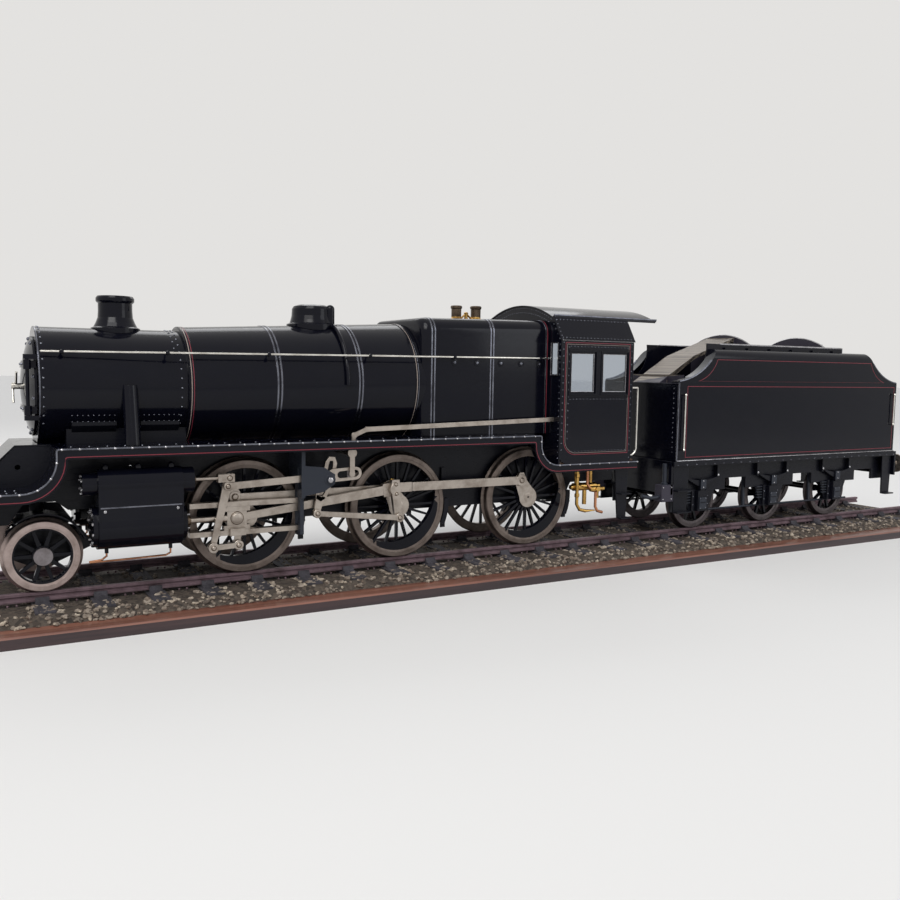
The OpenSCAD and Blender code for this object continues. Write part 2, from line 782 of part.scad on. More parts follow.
module cylinders() {
    cap_r = 2.2;
    color(black) on_track()
    both_sides() {
        along(cylinder_front, cylinder_back) {
            translate([con_y, cyl_z]) circle(r = cylinder_r);
            translate([inner_y, valve_z]) circle(r = chest_r);
            polygon([
                [frame_y + 0.1, cyl_z + cylinder_r - 2], [frame_y + 0.1, cyl_z - 8], [con_y - 12, cyl_z - 12],
                [con_y, cyl_z - 4], [con_y + cylinder_r - 1.2, cyl_z], [con_y + cylinder_r - 1.2, valve_z - 18],
                [inner_y + chest_r - 0.6, valve_z], [inner_y - chest_r + 0.6, valve_z],
                [inner_y - chest_r + 0.6, cyl_z + cylinder_r - 2]
            ]);
        }
        for (x = [-124, -97.5, -70]) {
            rod_z(valve_z + chest_r - 1, valve_z + chest_r + 2, x, inner_y, cap_r + 0.8);
            translate([x, inner_y, valve_z + chest_r + 2]) sphere(r = cap_r);
        }
        for (x = [cylinder_front + 8, cylinder_back - 8])
        rod_z(cyl_z - cylinder_r - 4, cyl_z - cylinder_r + 2, x, con_y, 1.6);
    }
}

module cylinder_covers() {
    gland_r = 4.4;
    rod_hole = 2.7;
    color(black) on_track()
    both_sides() {
        rod_x(cylinder_front - cover_t, cylinder_front, con_y, cyl_z, cylinder_r - 2);
        rod_x(valve_front, cylinder_front, inner_y, valve_z, chest_r - 3);
        difference() {
            union() {
                rod_x(cylinder_back, cylinder_back + cover_t, con_y, cyl_z, cylinder_r - 4);
                block([cylinder_back, cylinder_back + cover_t], [con_y - bar_w / 2, con_y + bar_w / 2],
                    [cyl_z - bar_gap - 2.5, cyl_z + bar_gap + 2.5]);
                rod_x(cylinder_back + cover_t - 1, cylinder_back + cover_t + 5, con_y, cyl_z, gland_r);
            }
            rod_x(cylinder_back + cover_t, cylinder_back + cover_t + 6, con_y, cyl_z, rod_hole);
        }
        rod_x(cylinder_back, valve_back, inner_y, valve_z, chest_r - 1);
    }
}

module steam_pipes() {
    x = -100;
    r = 6.6;
    lean = 14;
    color(black) on_track()
    both_sides()
    difference() {
        intersection() {
            translate([x, 62, board_z - 4]) rotate([lean, 0, 0]) cylinder(h = 70, r = r);
            block([x - 10, x + 10], [30, 80], [board_z, 173]);
        }
        rod_x(x - 12, x + 12, 0, boiler_z, smokebox_r + 0.1);
    }
}

// Engine frames

module main_frames() {
    top = 112;
    low = 46;
    nose = 121;
    rear_top = cab_board_z - 0.2;
    spreaders = [-150, -90, 62, 188, 425];
    color(black) on_track() {
        both_sides()
        across(frame_y - frame_t, frame_y)
        difference() {
            union() {
                polygon([
                    [beam_x + 3, 56], [beam_x + 3, low_board_z + 6], [-190, nose], [-156, nose], [-156, top],
                    [cab_x - 12, top], [cab_x - 5, rear_top], [engine_back_x, rear_top], [engine_back_x, 64],
                    [axle_3 + 68, 64], [axle_3 + 58, low], [-36, low], [-52, 66], [-150, 66], [-160, 74],
                    [-184, 74], [-196, 56]
                ]);
                for (x = [axle_1, axle_2, axle_3]) translate([x - 14, driver_z - 17]) square([28, 20]);
            }
            for (x = [axle_1, axle_2, axle_3]) translate([x, driver_z]) circle(r = axle_r + 0.3);
            translate([-188, 104]) circle(r = 2.2);
            translate([shaft_x, shaft_z]) circle(r = shaft_r + 0.3);
            translate([shaft_x - shaft_r, shaft_z]) square([2 * shaft_r, 10]);
        }
        for (x = spreaders)
        block([x, x + 3], [-frame_y + frame_t, frame_y - frame_t], [68, rear_top - 1]);
    }
}

// Stock, ram and round head of one buffer, facing -X from a beam's face
module buffer(face_x) {
    rod_x(face_x - 3, face_x, 0, 0, 10.5);
    translate([face_x - 3, 0, 0]) rotate([0, -90, 0]) cylinder(h = 13, r1 = 8.2, r2 = 6.6);
    rod_x(face_x - 25, face_x - 15, 0, 0, 4);
    translate([face_x - 24, 0, 0])
    rotate([0, -90, 0])
    rotate_extrude()
    polygon([[0, -1], [12.6, 1.5], [13.2, 3], [11, 4], [0, 5]]);
}

module draw_hook(face_x) {
    across(-1.6, 1.6) {
        translate([face_x - 9, -2.2]) square([9, 4.4]);
        difference() {
            translate([face_x - 11, 1.4]) circle(r = 5);
            translate([face_x - 11, 2.6]) circle(r = 2.3);
            translate([face_x - 13, 3]) square([4, 6]);
        }
    }
}

beam_t = 3;
module beam_pair(face_x, w) {
    block([face_x, face_x + beam_t], [-w / 2, w / 2], [buffer_z - 14, buffer_z + 19]);
    both_sides() translate([0, buffer_y, buffer_z]) buffer(face_x);
    translate([0, 0, buffer_z]) draw_hook(face_x);
}
module buffer_beam() { color(black) on_track() beam_pair(beam_x, 156); }

// Side outline of the running board, drawn to any depth below its top
module board_outline(depth) {
    bend_z = low_board_z + board_bend;
    cab_bend = 22;
    cab_bend_z = cab_board_z + cab_bend;
    translate([board_front_x, board_z - depth]) square([board_back_x - board_front_x, depth]);
    translate([board_front_x, bend_z]) square([depth, board_z - bend_z]);
    translate([board_front_x - board_bend, bend_z]) quarter_ring(board_bend, depth);
    translate([beam_x, low_board_z - depth]) square([board_front_x - board_bend - beam_x, depth]);
    translate([board_back_x - depth, cab_bend_z]) square([depth, board_z - cab_bend_z]);
    translate([board_back_x + cab_bend, cab_bend_z]) mirror([1, 0]) quarter_ring(cab_bend, depth);
    translate([board_back_x + cab_bend, cab_board_z - depth])
    square([engine_back_x - board_back_x - cab_bend, depth]);
}
// The quarter of a ring that lies right of and below its centre
module quarter_ring(r, depth) {
    intersection() {
        difference() {
            circle(r = r + depth, $fn = 96);
            circle(r = r, $fn = 96);
        }
        translate([0, -r - depth - 1]) square(r + depth + 1);
    }
}

board_in = frame_y + 0.4;
front_deck_x = -150.3;
wheel_box_y = face_y + 2.6;
module running_boards() {
    color(black) on_track() {
        difference() {
            both_sides() across(board_in, boards_w / 2) board_outline(plate);
            both_sides()
            block([firebox_x - 0.5, cab_x], [0, firebox_front_w / 2 + 0.5], [cab_board_z - 3, board_z + 1]);
            both_sides()
            block([cab_x - 1, axle_3 + driver_r + 6], [0, wheel_box_y], [cab_board_z - 4, cab_board_z + 1]);
            mirror([0, 1, 0])
            block([shaft_x - 3, shaft_x + 8], [reach_y - 2, reach_y + 2], [board_z - 4, board_z + 1]);
        }
        both_sides() across(boards_w / 2 - plate, boards_w / 2) board_outline(valance_h);
        difference() {
            across(0.2 - board_in, board_in - 0.2)
            polygon([
                [beam_x + 1, low_board_z + 6.4], [-190, 121.1], [front_deck_x, 121.1], [front_deck_x, board_z],
                [-190, board_z], [beam_x + 1, low_board_z + 8]
            ]);
            rod_x(smokebox_x - 1, front_deck_x + 1, 0, boiler_z, smokebox_r + 0.3);
        }
    }
}

module pony_truck() {
    side_y = 30;
    side_t = 3;
    guard_r = pony_r + flange_h + 2.6;
    color(black) on_track() {
        both_sides() {
            difference() {
                union() {
                    across(side_y - side_t, side_y)
                    translate([pony_x, 0])
                    polygon([[-24, 26], [-24, 40], [-10, 48], [10, 48], [40, 40], [40, 32], [12, 20], [-12, 20]]);
                    across(side_y, back_y - 1.2) translate([pony_x, pony_z]) circle(r = 8);
                }
                rod_y(side_y - side_t - 1, back_y, pony_x, pony_z, small_axle_r + pin_fit);
            }
            across(side_y - side_t, face_y)
            translate([pony_x, pony_z])
            intersection() {
                difference() {
                    circle(r = guard_r + 1.2, $fn = 96);
                    circle(r = guard_r, $fn = 96);
                }
                polygon([[0, 0], [-30, 40], [10, 60], [60, 20]]);
            }
            across(side_y - side_t, side_y)
            translate([pony_x, 0])
            polygon([[-8, 46], [8, 46], [26, 56], [20, 64], [-18, 64], [-20, 58]]);
        }
        block([pony_x - 8, pony_x + 8], [side_t - side_y, side_y - side_t], [42, 47]);
        block([pony_x + 34, pony_x + 39], [side_t - side_y, side_y - side_t], [33, 39]);
        rod_z(46, 73.9, pony_x, 0, 6);
        block([pony_x - 9, pony_x + 9], [-frame_y + frame_t, frame_y - frame_t], [74, 78]);
    }
}

// Boiler

door_gap = 0.3;
hinge_x = smokebox_x - 7.8;
hinge_y = -(door_r - 1);
hinge_r = 1.5;
knuckle_z = 19;
knuckle_h = 8;
chimney_x = -103;
chimney_bore = 10;
module smokebox() {
    lug_h = 4;
    color(black) on_track() {
        difference() {
            rod_x(smokebox_x, smokebox_x + smokebox_l, 0, boiler_z, smokebox_r);
            rod_x(smokebox_x + 2, smokebox_x + smokebox_l + 1, 0, boiler_z, smokebox_r - smokebox_wall);
            rod_x(smokebox_x - 1, smokebox_x + 3, 0, boiler_z, door_r - 4);
            rod_z(boiler_z, boiler_z + 60, chimney_x, 0, chimney_bore);
        }
        for (s = [-1, 1]) {
            z = boiler_z + s * (knuckle_z + knuckle_h / 2 + 0.3 + lug_h / 2);
            block([hinge_x, smokebox_x], [hinge_y - 3, hinge_y + 3], [z - lug_h / 2, z + lug_h / 2]);
            rod_z(z - lug_h / 2, z + lug_h / 2, hinge_x, hinge_y, 3);
        }
        rod_z(boiler_z - knuckle_z - knuckle_h, boiler_z + knuckle_z + knuckle_h, hinge_x, hinge_y, hinge_r);
    }
}

// Casting that carries the smokebox on the frames, with its curved bolting flanges
module smokebox_saddle() {
    front = -150;
    back = -50;
    low = 95;
    seat = 112.1;
    flange_t = 2;
    color(black) on_track() {
        difference() {
            union() {
                block([front, back], [-frame_y, frame_y], [seat, boiler_z - 30]);
                block([front, back], [frame_t - frame_y + 0.1, frame_y - frame_t - 0.1], [low, seat]);
            }
            rod_x(front - 1, back + 1, 0, boiler_z, smokebox_r + 0.1);
        }
        for (x = [[-146, -110], [-90, -57]])
        intersection() {
            difference() {
                rod_x(x[0], x[1], 0, boiler_z, smokebox_r + 0.1 + flange_t);
                rod_x(x[0] - 1, x[1] + 1, 0, boiler_z, smokebox_r + 0.1);
            }
            both_sides() block(x, [frame_y - 8, frame_y + 5], [seat, boiler_z - 20]);
        }
    }
}

// A shallow dish of the door's size, standing out towards -X by its rise
module door_dish(r, rise, rim) {
    ball = (r * r + rise * rise) / (2 * rise);
    rotate([0, -90, 0]) {
        cylinder(h = rim, r = r);
        intersection() {
            translate([0, 0, rim + rise - ball]) sphere(r = ball, $fn = 128);
            cylinder(h = rim + rise + 1, r = r);
        }
    }
}

module smokebox_door() {
    rim = 2;
    rise = 8;
    strap = 1.4;
    face_x = smokebox_x - door_gap;
    dart_x = face_x - rim - rise;
    color(black) on_track()
    translate([hinge_x, hinge_y, 0]) rotate([0, 0, door_angle]) translate([-hinge_x, -hinge_y, 0]) {
        difference() {
            union() {
                translate([face_x, 0, boiler_z]) door_dish(door_r, rise, rim);
                for (s = [-1, 1]) {
                    z = boiler_z + s * knuckle_z;
                    intersection() {
                        translate([face_x, 0, boiler_z]) door_dish(door_r - 0.5, rise + strap, rim);
                        block([dart_x - 5, face_x], [-door_r, door_r - 14], [z - 3, z + 3]);
                    }
                    block([hinge_x, face_x - 0.5], [hinge_y, -33], [z - 3, z + 3]);
                    rod_z(z - knuckle_h / 2, z + knuckle_h / 2, hinge_x, hinge_y, 3);
                }
            }
            translate([face_x + 0.1, 0, boiler_z]) door_dish(door_r - 6, rise - 1.5, 0.6);
            rod_z(boiler_z - 40, boiler_z + 40, hinge_x, hinge_y, hinge_r + pin_fit);
        }
        rod_x(dart_x - 7, dart_x + 2, 0, boiler_z, 2.6);
        translate([dart_x - 3.4, 0, boiler_z]) rotate([35, 0, 0]) cylinder(h = 15, r = 1);
        translate([dart_x - 6, 0, boiler_z]) rotate([160, 0, 0]) cylinder(h = 15, r = 1);
    }
}

module tube_plate() {
    color(iron) on_track()
    rod_x(smokebox_x + smokebox_l - 5, smokebox_x + smokebox_l - 1, 0, boiler_z, smokebox_r - smokebox_wall - 0.1);
}

module blast_pipe() {
    floor_z = boiler_z - smokebox_r + smokebox_wall + 0.75;
    roof_z = boiler_z + smokebox_r - smokebox_wall - 0.8;
    color(iron) on_track()
    translate([chimney_x, 0, 0]) {
        rod_z(floor_z, floor_z + 30, 0, 0, 8);
        translate([0, 0, floor_z + 30]) cylinder(h = 22, r1 = 8, r2 = 5);
        rotate_extrude()
        polygon([
            [chimney_bore, roof_z - 26], [chimney_bore + 7, roof_z - 34], [chimney_bore + 8.4, roof_z - 34],
            [chimney_bore + 1.4, roof_z - 25], [chimney_bore + 1.4, roof_z - 1.4], [chimney_bore, roof_z - 1.4]
        ]);
        block([-2, 2], [-chimney_bore - 1, -7], [floor_z + 24, floor_z + 28]);
    }
}

module chimney() {
    lip = 16.4;
    waist = 14.6;
    flare = 21;
    crown = boiler_z + smokebox_r;
    color(black) on_track()
    difference() {
        translate([chimney_x, 0, 0])
        rotate_extrude($fn = 96)
        difference() {
            polygon([
                [chimney_bore, crown - 8], [flare, crown - 8], [flare, crown + 0.6], [flare - 2.4, crown + 1.8],
                [waist + 2.2, crown + 5.4], [waist + 0.4, crown + 10], [waist, crown + 16], [waist, chimney_top - 6.4],
                [lip - 0.6, chimney_top - 5.4], [lip, chimney_top - 4.4], [lip, chimney_top - 1.8],
                [waist + 0.6, chimney_top], [chimney_bore, chimney_top]
            ]);
            translate([flare + 1.5, crown + 8]) circle(r = 1);
        }
        rod_x(chimney_x - 40, chimney_x + 40, 0, boiler_z, smokebox_r + 0.1);
    }
}

barrel_l = firebox_x - barrel_x;
barrel_tilt = atan2(barrel_back_z - barrel_front_z, barrel_l);
barrel_grow = (barrel_back_r - barrel_front_r) / barrel_l;
function barrel_r(x) = barrel_front_r + barrel_grow * (x - barrel_x);
function barrel_z(x) = barrel_front_z + (x - barrel_x) * tan(barrel_tilt);
// A length of the tapering barrel, fatter than the cladding by skin
module barrel_piece(x0, x1, skin) {
    over = 6;
    intersection() {
        translate([barrel_x - over, 0, barrel_z(barrel_x - over)])
        rotate([0, 90 - barrel_tilt, 0])
        cylinder(h = barrel_l + 2 * over, r1 = barrel_r(barrel_x - over) + skin,
            r2 = barrel_r(firebox_x + over) + skin, $fn = 128);
        block([x0, x1], [-90, 90], [80, 260]);
    }
}
module boiler_barrel() { color(black) on_track() barrel_piece(smokebox_x + smokebox_l, firebox_x - 0.1, 0); }

band_places = [[-39, 4.4], [40, 1.6], [44, 1.6], [120, 1.6], [124, 1.6], [188, 4]];
module boiler_bands() {
    skin = 0.5;
    color(black) on_track()
    for (b = band_places)
    difference() {
        barrel_piece(b[0], b[0] + b[1], skin);
        barrel_piece(b[0] - 1, b[0] + b[1] + 1, 0);
    }
}

module top_feed() {
    x = 83.5;
    top = 252;
    base = 25;
    crown = barrel_z(x) + barrel_r(x);
    pipe_r = 2;
    pipe_x = x + 14;
    ring_r = barrel_r(pipe_x) + pipe_r + 0.3;
    color(black) on_track() {
        difference() {
            union() {
                translate([x, 0, 0])
                rotate_extrude($fn = 96)
                polygon([
                    [0, crown - 14], [base, crown - 14], [base, crown + 0.5], [base - 3, crown + 1.8], [21, crown + 5],
                    [20, crown + 9], [19.6, top - 4], [18, top - 1.4], [14, top], [0, top]
                ]);
                both_sides() {
                    rod_z(crown - 10, top - 4, pipe_x, 14, 4.4);
                    translate([pipe_x, 14, top - 4]) sphere(r = 4.4);
                }
            }
            barrel_piece(x - 40, x + 40, 0.1);
        }
        translate([pipe_x, 0, barrel_z(pipe_x)])
        rotate([0, 90, 0])
        both_sides()
        rotate([0, 0, 14 + 180])
        mirror([0, 1, 0])
        rotate_extrude(angle = 104, $fn = 96)
        translate([ring_r, 0]) circle(r = pipe_r, $fn = 24);
    }
}

// End outline of the firebox: straight sides and a flat top with round shoulders
module firebox_outline(w, top, low) {
    r = 13;
    translate([w / 2 - r, top - r]) circle(r = r);
    translate([r - w / 2, top - r]) circle(r = r);
    polygon([
        [-w / 2, low], [w / 2, low], [w / 2, top - r], [w / 2 - r, top - r], [w / 2 - r, top],
        [r - w / 2, top], [r - w / 2, top - r], [-w / 2, top - r]
    ]);
}
module firebox_slice(x, w, top) {
    translate([x, 0, 0]) rotate([90, 0, 90]) linear_extrude(0.1) firebox_outline(w, top, board_z + 0.1);
}
function firebox_w(x) = firebox_front_w + (firebox_back_w - firebox_front_w) * (x - firebox_x) / (cab_x - firebox_x);
module firebox_body(x0, x1, skin) {
    hull() {
        firebox_slice(x0, firebox_w(x0) + 2 * skin, firebox_top + skin);
        firebox_slice(x1 - 0.1, firebox_w(x1) + 2 * skin, firebox_top + skin);
    }
}
module firebox() {
    round_l = 7;
    skin = 0.5;
    color(black) on_track()
    render() {
        firebox_body(firebox_x + round_l, cab_x - 0.1, 0);
        hull() {
            firebox_slice(firebox_x, firebox_w(firebox_x) - 11, firebox_top - 6);
            firebox_slice(firebox_x + 2, firebox_w(firebox_x) - 5, firebox_top - 2.4);
            firebox_slice(firebox_x + round_l, firebox_w(firebox_x + round_l), firebox_top);
        }
        for (x = [firebox_x + 12, 286, 291, cab_x - 4]) firebox_body(x, x + 1.6, skin);
    }
}

module ashpan() {
    half = frame_y - frame_t - 0.2;
    color(black) on_track()
    across(-half, half)
    polygon([
        [firebox_x + 6, 60], [axle_3 - 30, 60], [axle_3 - 20, 74], [cab_x - 14, 74], [cab_x - 14, board_z],
        [firebox_x + 6, board_z]
    ]);
}

module safety_valves() {
    z = firebox_top + 0.1;
    color(brass) on_track()
    for (x = [250, 274])
    translate([x, 0, z])
    rotate_extrude()
    polygon([
        [0, 0], [6, 0], [6, 1.6], [3.6, 2.4], [3.4, 9.6], [4.8, 10.4], [5.2, 11], [5.2, 12.6], [4.2, 13.4], [0, 13.4]
    ]);
}

rail_ends = [[smokebox_x + 2, 47, 200.4], [firebox_x - 2, 64.4, 202.8], [cab_x - 0.2, 62, 204]];
handrail_r = 1;
function on_rail(x) =
    let (k = x < rail_ends[1][0] ? 0 : 1, p = rail_ends[k], q = rail_ends[k + 1])
    p + (x - p[0]) / (q[0] - p[0]) * (q - p);
function body_y(x, z) =
    x < barrel_x ? sqrt(pow(smokebox_r, 2) - pow(z - boiler_z, 2)) :
    x < firebox_x ? sqrt(pow(barrel_r(x), 2) - pow(z - barrel_z(x), 2)) : firebox_w(x) / 2;
module bar_between(p, q, r) {
    run = q - p;
    translate(p) rotate([0, acos(run[2] / norm(run)), atan2(run[1], run[0])]) cylinder(h = norm(run), r = r);
}
// Rails along both sides of the boiler, each carried on knobbed pillars
module handrails() {
    color(steel) on_track()
    both_sides() {
        for (k = [0, 1]) bar_between(rail_ends[k], rail_ends[k + 1], handrail_r);
        translate(rail_ends[1]) sphere(r = 1.6);
        for (x = [-148, -50, 50, 148, 238, 322]) {
            p = on_rail(x);
            translate(p) sphere(r = 1.9);
            rod_y(body_y(x, p[2]) + 0.7, p[1] - 1.3, x, p[2], 0.8);
        }
    }
}

// Cab

eaves_y = cab_w / 2;
gutter_y = eaves_y - 16;
gutter_z = eaves_z + 25;
sheet_t = 1.6;
roof_t = 1.4;
crown_rise = roof_top - gutter_z;
crown_r = (gutter_y * gutter_y + crown_rise * crown_rise) / (2 * crown_rise);
roof_back = cab_back + 45;
window_z = [166, 212];
window_x = [[12, 47.5], [55, 92.5]];
spectacle_y = [63.5, 75];
spectacle_z = [187, 220];

module crown_disc(r) { translate([0, roof_top - crown_r]) circle(r = r, $fn = 180); }
module cab_front_outline() {
    top = gutter_z - roof_t - 0.3;
    polygon([
        [-eaves_y, cab_board_z], [eaves_y, cab_board_z], [eaves_y, eaves_z], [gutter_y, top],
        [-gutter_y, top], [-eaves_y, eaves_z]
    ]);
    intersection() {
        crown_disc(crown_r - roof_t - 0.1);
        translate([-gutter_y + 0.6, gutter_z - roof_t - 0.5]) square([2 * gutter_y - 1.2, 30]);
    }
}
module cab_sheets() {
    corner = 12;
    color(black) on_track() {
        difference() {
            along(cab_x, cab_x + sheet_t) cab_front_outline();
            both_sides() {
                block([cab_x - 1, cab_x + 3], spectacle_y, spectacle_z);
                block([cab_x - 1, cab_x + 3], [frame_y - frame_t - 0.3, wheel_box_y], [cab_board_z - 1, wheel_box_z]);
            }
        }
        both_sides()
        across(cab_w / 2 - sheet_t, cab_w / 2)
        difference() {
            union() {
                translate([cab_x + sheet_t, cab_board_z + corner]) square([cab_l - sheet_t, eaves_z - cab_board_z - corner]);
                translate([cab_x + corner, cab_board_z]) square([cab_l - corner, corner + 1]);
                translate([cab_x + corner, cab_board_z + corner]) circle(r = corner);
            }
            for (w = window_x)
            translate([cab_x + w[0], window_z[0]]) square([w[1] - w[0], window_z[1] - window_z[0]]);
        }
    }
}

module cab_windows() {
    lap = 1.4;
    glass_t = 0.9;
    in_y = cab_w / 2 - sheet_t - 0.1;
    color([0.7, 0.8, 0.85, 0.4]) on_track()
    both_sides() {
        for (w = window_x)
        block([cab_x + w[0] - lap, cab_x + w[1] + lap], [in_y - glass_t, in_y], [window_z[0] - lap, window_z[1] + lap]);
        block([cab_x + sheet_t + 0.1, cab_x + sheet_t + 0.1 + glass_t], spectacle_y + [-lap, lap], spectacle_z + [-lap, lap]);
    }
}

module cab_roof() {
    slope = [eaves_y - gutter_y, gutter_z - eaves_z];
    n = roof_t * [slope[1], slope[0]] / norm(slope);
    color(black) on_track() {
        along(cab_x - 1, roof_back)
        intersection() {
            difference() {
                crown_disc(crown_r);
                crown_disc(crown_r - roof_t);
            }
            translate([-gutter_y, gutter_z - 4]) square([2 * gutter_y, 40]);
        }
        both_sides() {
            along(cab_x - 1, cab_back + 2)
            polygon([
                [eaves_y, eaves_z + 0.1], [eaves_y + n[0], eaves_z + 0.1], [gutter_y + n[0], gutter_z + n[1]],
                [gutter_y - 1, gutter_z + 0.2], [gutter_y - 0.2, gutter_z - 1]
            ]);
            along(cab_x, roof_back)
            polygon([[gutter_y - 1, gutter_z - 0.6], [gutter_y + 1.6, gutter_z - 0.6], [gutter_y + 1.6, gutter_z + 1.6],
                [gutter_y - 1, gutter_z + 1]]);
        }
    }
}

// Floor plates with a box over the part of each trailing wheel that stands inside the cab
wheel_box_z = 108.5;
module cab_floor() {
    in_y = cab_w / 2 - sheet_t - 0.1;
    x0 = cab_x + sheet_t + 0.1;
    box_end = axle_3 + driver_r + 5;
    box_t = 1.2;
    box_in = back_y - 2;
    color("#5b4632") on_track() {
        difference() {
            block([x0, engine_back_x - 2], [-in_y, in_y], [cab_board_z, cab_board_z + 1.8]);
            both_sides() {
                block([cab_x + cab_l, engine_back_x], [cab_w / 2 - 6, cab_w / 2], [cab_board_z - 1, cab_board_z + 3]);
                block([x0 - 1, box_end - box_t], [box_in, wheel_box_y], [cab_board_z - 1, cab_board_z + 3]);
            }
        }
        both_sides()
        difference() {
            block([x0, box_end], [box_in - box_t, wheel_box_y + box_t], [cab_board_z + 1, wheel_box_z]);
            block([x0 - 1, box_end - box_t], [box_in, wheel_box_y], [cab_board_z, wheel_box_z - box_t]);
        }
    }
}

module backhead() {
    x0 = cab_x + sheet_t + 0.1;
    x1 = x0 + 9;
    door_z = 130;
    color(black) on_track() {
        difference() {
            along(x0, x1) firebox_outline(firebox_back_w - 14, firebox_top - 10, cab_board_z + 2);
            both_sides() block([x0 - 1, x1 + 1], [frame_y - frame_t, cab_w / 2], [cab_board_z, wheel_box_z + 0.1]);
        }
        translate([0, 0, door_z]) rod_x(x1 - 1, x1 + 3, 0, 0, 15);
        rod_x(x1 - 1, x1 + 7, 0, 190, 4);
        translate([x1 + 6, 0, 190]) rotate([50, 0, 0]) cylinder(h = 34, r = 1.6);
        both_sides() {
            rod_z(168, 198, x1 + 4, 20, 1.6);
            for (z = [170, 196]) rod_x(x1 - 1, x1 + 6, 20, z, 2.4);
            rod_x(x1 - 1, x1 + 4, 34, 212, 8);
        }
    }
}

module cab_steps() {
    hang_y = [68, 70];
    x0 = cab_back - 8;
    x1 = engine_back_x - 3;
    color(black) on_track()
    both_sides() {
        across(hang_y[0], hang_y[1])
        polygon([[x0 - 4, cab_board_z - plate - 0.1], [x1, cab_board_z - plate - 0.1], [x1 - 2, 24], [x0 + 2, 24]]);
        for (z = [24, 52]) block([x0 + 1, x1 - 1], [hang_y[1], hang_y[1] + 8], [z, z + 1.4]);
    }
}

module injectors() {
    x = 384;
    z = 62;
    y = 62;
    color(brass) on_track()
    both_sides() {
        rod_x(x - 16, x + 14, y, z, 4.4);
        rod_x(x - 20, x + 20, y, z, 2.6);
        rod_z(z, cab_board_z - plate - 0.1, x + 8, y, 2);
        rod_z(z, cab_board_z - plate - 0.1, x - 12, y, 2);
        rod_z(z - 20, z, x, y, 2.4);
        translate([x + 18, y, z - 14]) cylinder(h = 14, r = 2);
    }
}

module brake_gear() {
    block_r = driver_r + 1.2;
    block_y = [back_y + flange_w + 1.4, face_y - 1];
    hanger_y = [back_y - 3.4, back_y - 1.4];
    hanger_top = cab_board_z - plate - 1 - driver_z;
    color(iron) on_track()
    both_sides()
    for (x = [axle_1, axle_2, axle_3])
    translate([x, 0, driver_z]) {
        across(block_y[0], block_y[1])
        intersection() {
            difference() {
                circle(r = block_r + 5, $fn = 96);
                circle(r = block_r, $fn = 96);
            }
            polygon([[0, 0], [80, -34], [80, 6]]);
        }
        across(hanger_y[0], hanger_y[1])
        polygon([[block_r + 1.5, -28], [block_r + 6.5, -28], [block_r + 6.5, hanger_top], [block_r + 1.5, hanger_top]]);
        rod_y(hanger_y[0], block_y[1], block_r + 3.5, -8, 1.4);
        rod_y(frame_y, hanger_y[1], block_r + 4, hanger_top - 4, 1.6);
    }
}

// Tender

module tender_wheel_places() { for (x = [tender_1, tender_2, tender_3]) translate([x, 0, 0]) children(); }
tender_frame_y = 57.4;
tender_frame_t = 2.6;
box_y = 67;
module tender_frames() {
    top = tender_floor_z - plate - 0.1;
    low = 47;
    box_w = 15;
    color(black) on_track() {
        both_sides()
        difference() {
            union() {
                across(tender_frame_y, tender_frame_y + tender_frame_t) {
                    difference() {
                        translate([deck_x + beam_t + 0.1, low]) square([tank_back - deck_x - beam_t - 3, top - low]);
                        for (x = [tender_1, tender_2, tender_3])
                        translate([x + tender_pitch / 2 - 18, low - 2]) square([36, 16]);
                    }
                    for (x = [tender_1, tender_2, tender_3])
                    translate([x, 0]) polygon([[-26, low + 1], [-16, 24], [16, 24], [26, low + 1]]);
                }
                tender_wheel_places() {
                    block([-box_w / 2, box_w / 2], [tender_frame_y + 1, box_y], [tender_z - 12, tender_z + 13]);
                    for (s = [-1, 1])
                    block([s * 11.5 - 2.5, s * 11.5 + 2.5], [tender_frame_y + 1, box_y - 4], [tender_z - 12, tender_z + 14]);
                }
            }
            tender_wheel_places() rod_y(tender_frame_y - 1, journal_end + 0.2, 0, tender_z, small_axle_r + pin_fit);
        }
        for (x = [deck_x + 20, tender_1 + tender_pitch / 2, tender_2 + tender_pitch / 2, tank_back - 24])
        block([x, x + 2.5], [-tender_frame_y - 0.5, tender_frame_y + 0.5], [low + 16, top]);
    }
}

// Leaf springs above the axleboxes, hung from brackets under the running plate
module tender_springs() {
    leaves = 6;
    leaf_t = 1.1;
    bow = 92;
    span = 27;
    low_z = tender_z + 19;
    color(black) on_track()
    both_sides()
    tender_wheel_places() {
        across(tender_frame_y + tender_frame_t + 0.3, box_y - 1)
        for (i = [0 : leaves - 1])
        intersection() {
            translate([0, low_z + bow])
            difference() {
                circle(r = bow - i * leaf_t, $fn = 180);
                circle(r = bow - (i + 1) * leaf_t, $fn = 180);
            }
            translate([-(span - (leaves - 1 - i) * 3.6), low_z - 1]) square([2 * (span - (leaves - 1 - i) * 3.6), 16]);
        }
        block([-4, 4], [tender_frame_y + tender_frame_t + 0.1, box_y], [tender_z + 13.1, low_z + leaves * leaf_t + 1.4]);
        for (s = [-1, 1])
        block([s * span - 1.8, s * span + 1.8], [tender_frame_y + tender_frame_t + 0.3, box_y - 2],
            [low_z + 8, tender_floor_z - plate - 0.2]);
    }
}

